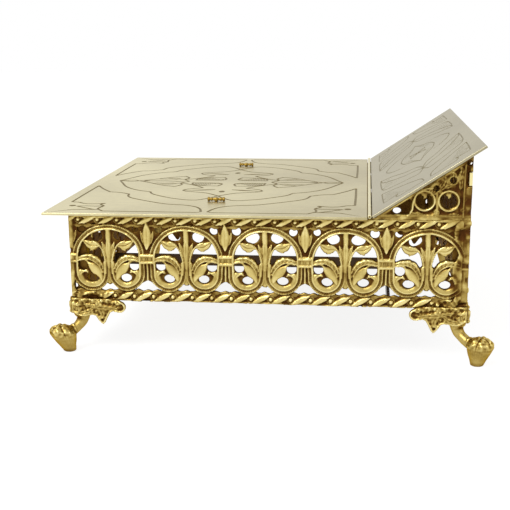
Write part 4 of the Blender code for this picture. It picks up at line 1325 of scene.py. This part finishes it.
def hinge_leaf(settings, length, side, parity):
    """Leaf strip with its rolled knuckles, about the hinge line; side is -1 or 1."""
    bm = bmesh.new()
    flat = []
    pitch = length / settings.knuckles
    radius = settings.barrel
    play = 0.00012
    bare_end = 0.0170
    for i in range(parity, settings.knuckles, 2):
        low = -length / 2 + i * pitch + play
        high = low + pitch - 2 * play
        bore = 0.55 * radius
        soft = 0.12 * radius
        profile = [(bore, low), (radius - soft, low), (radius, low + soft), (radius, high - soft),
                   (radius - soft, high), (bore, high), (bore, low)]
        add_turned(bm, profile, Matrix.Rotation(-math.pi / 2, 4, "X"), 28)
        web_low = max(low, -length / 2 + bare_end)
        web_high = min(high, length / 2 - bare_end)
        middle = Matrix.Translation((side * 0.00062, (web_low + web_high) / 2, -0.00155))
        flat.append(bmesh.ops.create_cube(bm, size=1.0, matrix=middle @ Matrix.Diagonal(
            (0.0007, web_high - web_low, 0.0016, 1))))
    strip = Matrix.Translation((side * 0.00685, 0, -0.0027))
    flat.append(bmesh.ops.create_cube(bm, size=1.0, matrix=strip @ Matrix.Diagonal(
        (0.0131, length - 2 * bare_end, 0.0008, 1))))
    # the webs and strip take the second slot, a dark brass that paints the shade along the hinge line
    for block in flat:
        for face in {face for vertex in block["verts"] for face in vertex.link_faces}:
            face.material_index = 1
    return finished(bm, "hinge_leaf", 40)


class STAND_OT_hinge(bpy.types.Operator):
    """Roll the hinge's knuckles round its pin, and finish its leaves and pin."""
    bl_idname = "stand.hinge"
    bl_label = "Barrel hinge"

    def execute(self, context):
        settings = context.scene.stand_plates
        finish = context.scene.stand_finish
        barrel = turned_material("Hinge brass", finish.recess, finish.sheet_light, 0.80)
        # dark brass for the webs and strip: painted shade along the hinge
        shaded_strip = turned_material("Hinge strip in painted shade", finish.recess, finish.shadow, 0.4,
                                  tint=finish.warmth)
        pin = turned_material("Pin brass", finish.recess, finish.middle, 0.5)
        give("hinge_pin", pin)
        axis_x, _, axis_z = middle_of("hinge_pin")
        axis = Matrix.Translation((axis_x, 0, axis_z))
        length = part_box("main_plate")[1][1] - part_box("main_plate")[0][1]
        rest = Matrix.Rotation(-HEAD_ANGLE, 4, "Y")
        for node, body, side, parity, turn in (("hinge_leaf_main", "frame", -1, 0, Matrix()),
                                               ("hinge_leaf_head", "head", 1, 1, rest)):
            mesh = hinge_leaf(settings, length, side, parity)
            mesh.materials.append(barrel)
            mesh.materials.append(shaded_strip)
            piece = new_piece(node + "_rolled", mesh, body, barrel, [node])
            piece.matrix_world = axis @ turn
        return {"FINISHED"}


class STAND_OT_catches(bpy.types.Operator):
    """Turn the two bobbin-shaped catches."""
    bl_idname = "stand.catches"
    bl_label = "Catches"

    def execute(self, context):
        settings = context.scene.stand_plates
        half, radius = settings.catch_length / 2, settings.catch_radius
        knobs = [(0, 1.0), (0.55, 1.0), (0.86, 0.97), (1.0, 0.90), (1.0, 0.82), (0.88, 0.76), (0.66, 0.72),
                 (0.64, 0.66), (0.80, 0.60), (0.84, 0.52), (0.74, 0.44), (0.60, 0.38), (0.58, 0.30),
                 (0.72, 0.22), (0.88, 0.10), (0.90, 0.0)]
        profile = [(r * radius, z * half) for r, z in knobs]
        profile += [(r, -z) for r, z in reversed(profile[:-1])]
        profile = profile[::-1]
        material = turned_material("Catch brass", linear(72, 48, 14), linear(186, 156, 78), 0.42)
        for ending in ("front", "rear"):
            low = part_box("catch_" + ending)[0][2]
            x, y, _ = middle_of("catch_washer_" + ending)
            bm = bmesh.new()
            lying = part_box("main_plate")[1][2] + radius
            turn = Matrix.Translation((x, y, lying)) @ Matrix.Rotation(math.pi / 2, 4, "Y")
            add_turned(bm, profile, turn, 28)
            stem = [(0, low), (0.0010, low), (0.0010, lying), (0, lying)]
            add_turned(bm, stem, Matrix.Translation((x, y, 0)), 20)
            name = "catch_" + ending + "_turned"
            new_piece(name, finished(bm, name, 50), ending + "_catch", material,
                      ["catch_" + ending])
        return {"FINISHED"}


def give(node, material):
    """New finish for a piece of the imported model."""
    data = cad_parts[node].data
    data.materials.clear()
    data.materials.append(material)


class STAND_OT_fittings(bpy.types.Operator):
    """Finish the plain fittings: posts, rivets, bars, washers and corner pins."""
    bl_idname = "stand.fittings"
    bl_label = "Fittings"

    def execute(self, context):
        finish = context.scene.stand_finish
        bar = turned_material("Blackened bar", linear(44, 27, 12), linear(78, 54, 26), 0.5, 0.6, 0.4)
        rivet = turned_material("Rivet brass", finish.shadow, finish.bright, 0.6)
        pin = turned_material("Corner pin brass", finish.middle, finish.rubbed, 0.8)
        washer = turned_material("Washer brass", finish.recess, finish.middle, 0.5)
        finishes = {"post_": cast_material("Plain cast brass", 0.3, 0.24), "rivet_": rivet, "tie_bar": bar,
                    "cross_bar": bar, "riser_pin_": pin, "catch_washer_": washer}
        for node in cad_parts:
            for start, material in finishes.items():
                if node.startswith(start):
                    give(node, material)
        return {"FINISHED"}


class STAND_OT_stage(bpy.types.Operator):
    """Set up the camera, the pale floor and plain soft studio light."""
    bl_idname = "stand.stage"
    bl_label = "Stage"

    def execute(self, context):
        settings = context.scene.stand_stage
        scene = context.scene
        scene.view_settings.view_transform = "Standard"
        yaw, pitch, roll = math.radians(-6.61), math.radians(13.42), math.radians(-0.43)
        forward = Vector((math.sin(yaw) * math.cos(pitch), math.cos(yaw) * math.cos(pitch),
                          -math.sin(pitch)))
        right = Vector((math.cos(yaw), -math.sin(yaw), 0))
        up = right.cross(forward)
        across = math.cos(roll) * right + math.sin(roll) * up
        upright = -math.sin(roll) * right + math.cos(roll) * up
        camera_data = bpy.data.cameras.new("Camera")
        camera_data.lens = settings.lens
        camera_data.sensor_width = 36.0
        camera_data.clip_start = 0.01
        camera = placed("Camera", camera_data)
        place = Matrix.Translation((0.0664, -0.7564, 0.2197))
        camera.matrix_world = place @ Matrix((across, upright, -forward)).transposed().to_4x4()
        scene.camera = camera
        self.floor(settings)
        self.world(scene, settings)
        self.lamp("Key lamp", (-0.55, -0.75, 1.05), 0.75, settings.key)
        self.lamp("Fill lamp", (0.95, -0.35, 0.65), 0.60, settings.fill)
        return {"FINISHED"}

    def floor(self, settings):
        mesh = bpy.data.meshes.new("Floor")
        half = settings.floor_size / 2
        corners = [(x * half, y * half, 0) for x, y in ((-1, -1), (1, -1), (1, 1), (-1, 1))]
        mesh.from_pydata(corners, [], [(0, 1, 2, 3)])
        floor = placed("Floor", mesh)
        clear = 0.00005
        floor.location.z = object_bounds()[0][2] - clear
        material = bpy.data.materials.new("Pale floor")
        material.use_nodes = True
        wire = Wiring(material.node_tree)
        shader = wire.nodes["Principled BSDF"].inputs
        shader["Base Color"].default_value = settings.floor_colour
        shader["Roughness"].default_value = 0.9
        shader["Specular IOR Level"].default_value = 0.0
        shader["Emission Color"].default_value = (1, 1, 1, 1)
        wire.join(seen_directly(wire, 0.86, 0.0), shader["Emission Strength"])
        mesh.materials.append(material)
        floor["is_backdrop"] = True

    def world(self, scene, settings):
        world = bpy.data.worlds.new("Studio")
        scene.world = world
        world.use_nodes = True
        wire = Wiring(world.node_tree)
        background = wire.nodes["Background"].inputs
        background["Color"].default_value = (1, 1, 1, 1)
        wire.join(seen_directly(wire, 1.0, settings.sky), background["Strength"])

    def lamp(self, name, place, size, power):
        data = bpy.data.lights.new(name, "AREA")
        data.shape = "SQUARE"
        data.size = size
        data.energy = power
        lamp = placed(name, data)
        lamp.location = place
        lamp.rotation_euler = (Vector((0, 0, 0.07)) - Vector(place)).to_track_quat("-Z", "Y").to_euler()


def seen_directly(wire, seen, otherwise):
    """One value for the camera and reflections, another for the light on things."""
    path = wire.nodes.new("ShaderNodeLightPath").outputs
    either = wire.math("MAXIMUM", path["Is Camera Ray"], path["Is Glossy Ray"])
    either = wire.math("MAXIMUM", either, path["Is Transmission Ray"])
    return wire.plus(wire.times(either, seen - otherwise), otherwise)


class STAND_PT_panel(bpy.types.Panel):
    """Sizes, colours and buttons of the album stand."""
    bl_idname = "STAND_PT_panel"
    bl_label = "Album stand"
    bl_space_type = "VIEW_3D"
    bl_region_type = "UI"
    bl_category = "Album stand"

    def draw(self, context):
        layout = self.layout
        for operator in OPERATORS:
            layout.operator(operator.bl_idname)
        for name in SETTINGS:
            settings = getattr(context.scene, name)
            box = layout.box()
            for key in settings.__annotations__:
                box.prop(settings, key)


SETTINGS = {"stand_reliefs": StandReliefs, "stand_feet": StandFeet, "stand_plates": StandPlates,
            "stand_finish": StandFinish, "stand_stage": StandStage}
OPERATORS = (STAND_OT_stage, STAND_OT_friezes, STAND_OT_risers, STAND_OT_feet, STAND_OT_plates,
             STAND_OT_hinge, STAND_OT_catches, STAND_OT_fittings)


def register():
    for group in SETTINGS.values():
        bpy.utils.register_class(group)
    for operator in OPERATORS:
        bpy.utils.register_class(operator)
    bpy.utils.register_class(STAND_PT_panel)
    for name, group in SETTINGS.items():
        setattr(bpy.types.Scene, name, bpy.props.PointerProperty(type=group))


def unregister():
    for name in SETTINGS:
        delattr(bpy.types.Scene, name)
    bpy.utils.unregister_class(STAND_PT_panel)
    for operator in reversed(OPERATORS):
        bpy.utils.unregister_class(operator)
    for group in reversed(list(SETTINGS.values())):
        bpy.utils.unregister_class(group)


def main():
    register()
    bpy.ops.stand.stage()
    bpy.ops.stand.friezes()
    bpy.ops.stand.risers()
    bpy.ops.stand.feet()
    bpy.ops.stand.plates()
    bpy.ops.stand.hinge()
    bpy.ops.stand.catches()
    bpy.ops.stand.fittings()


if __name__ == "__main__":
    main()
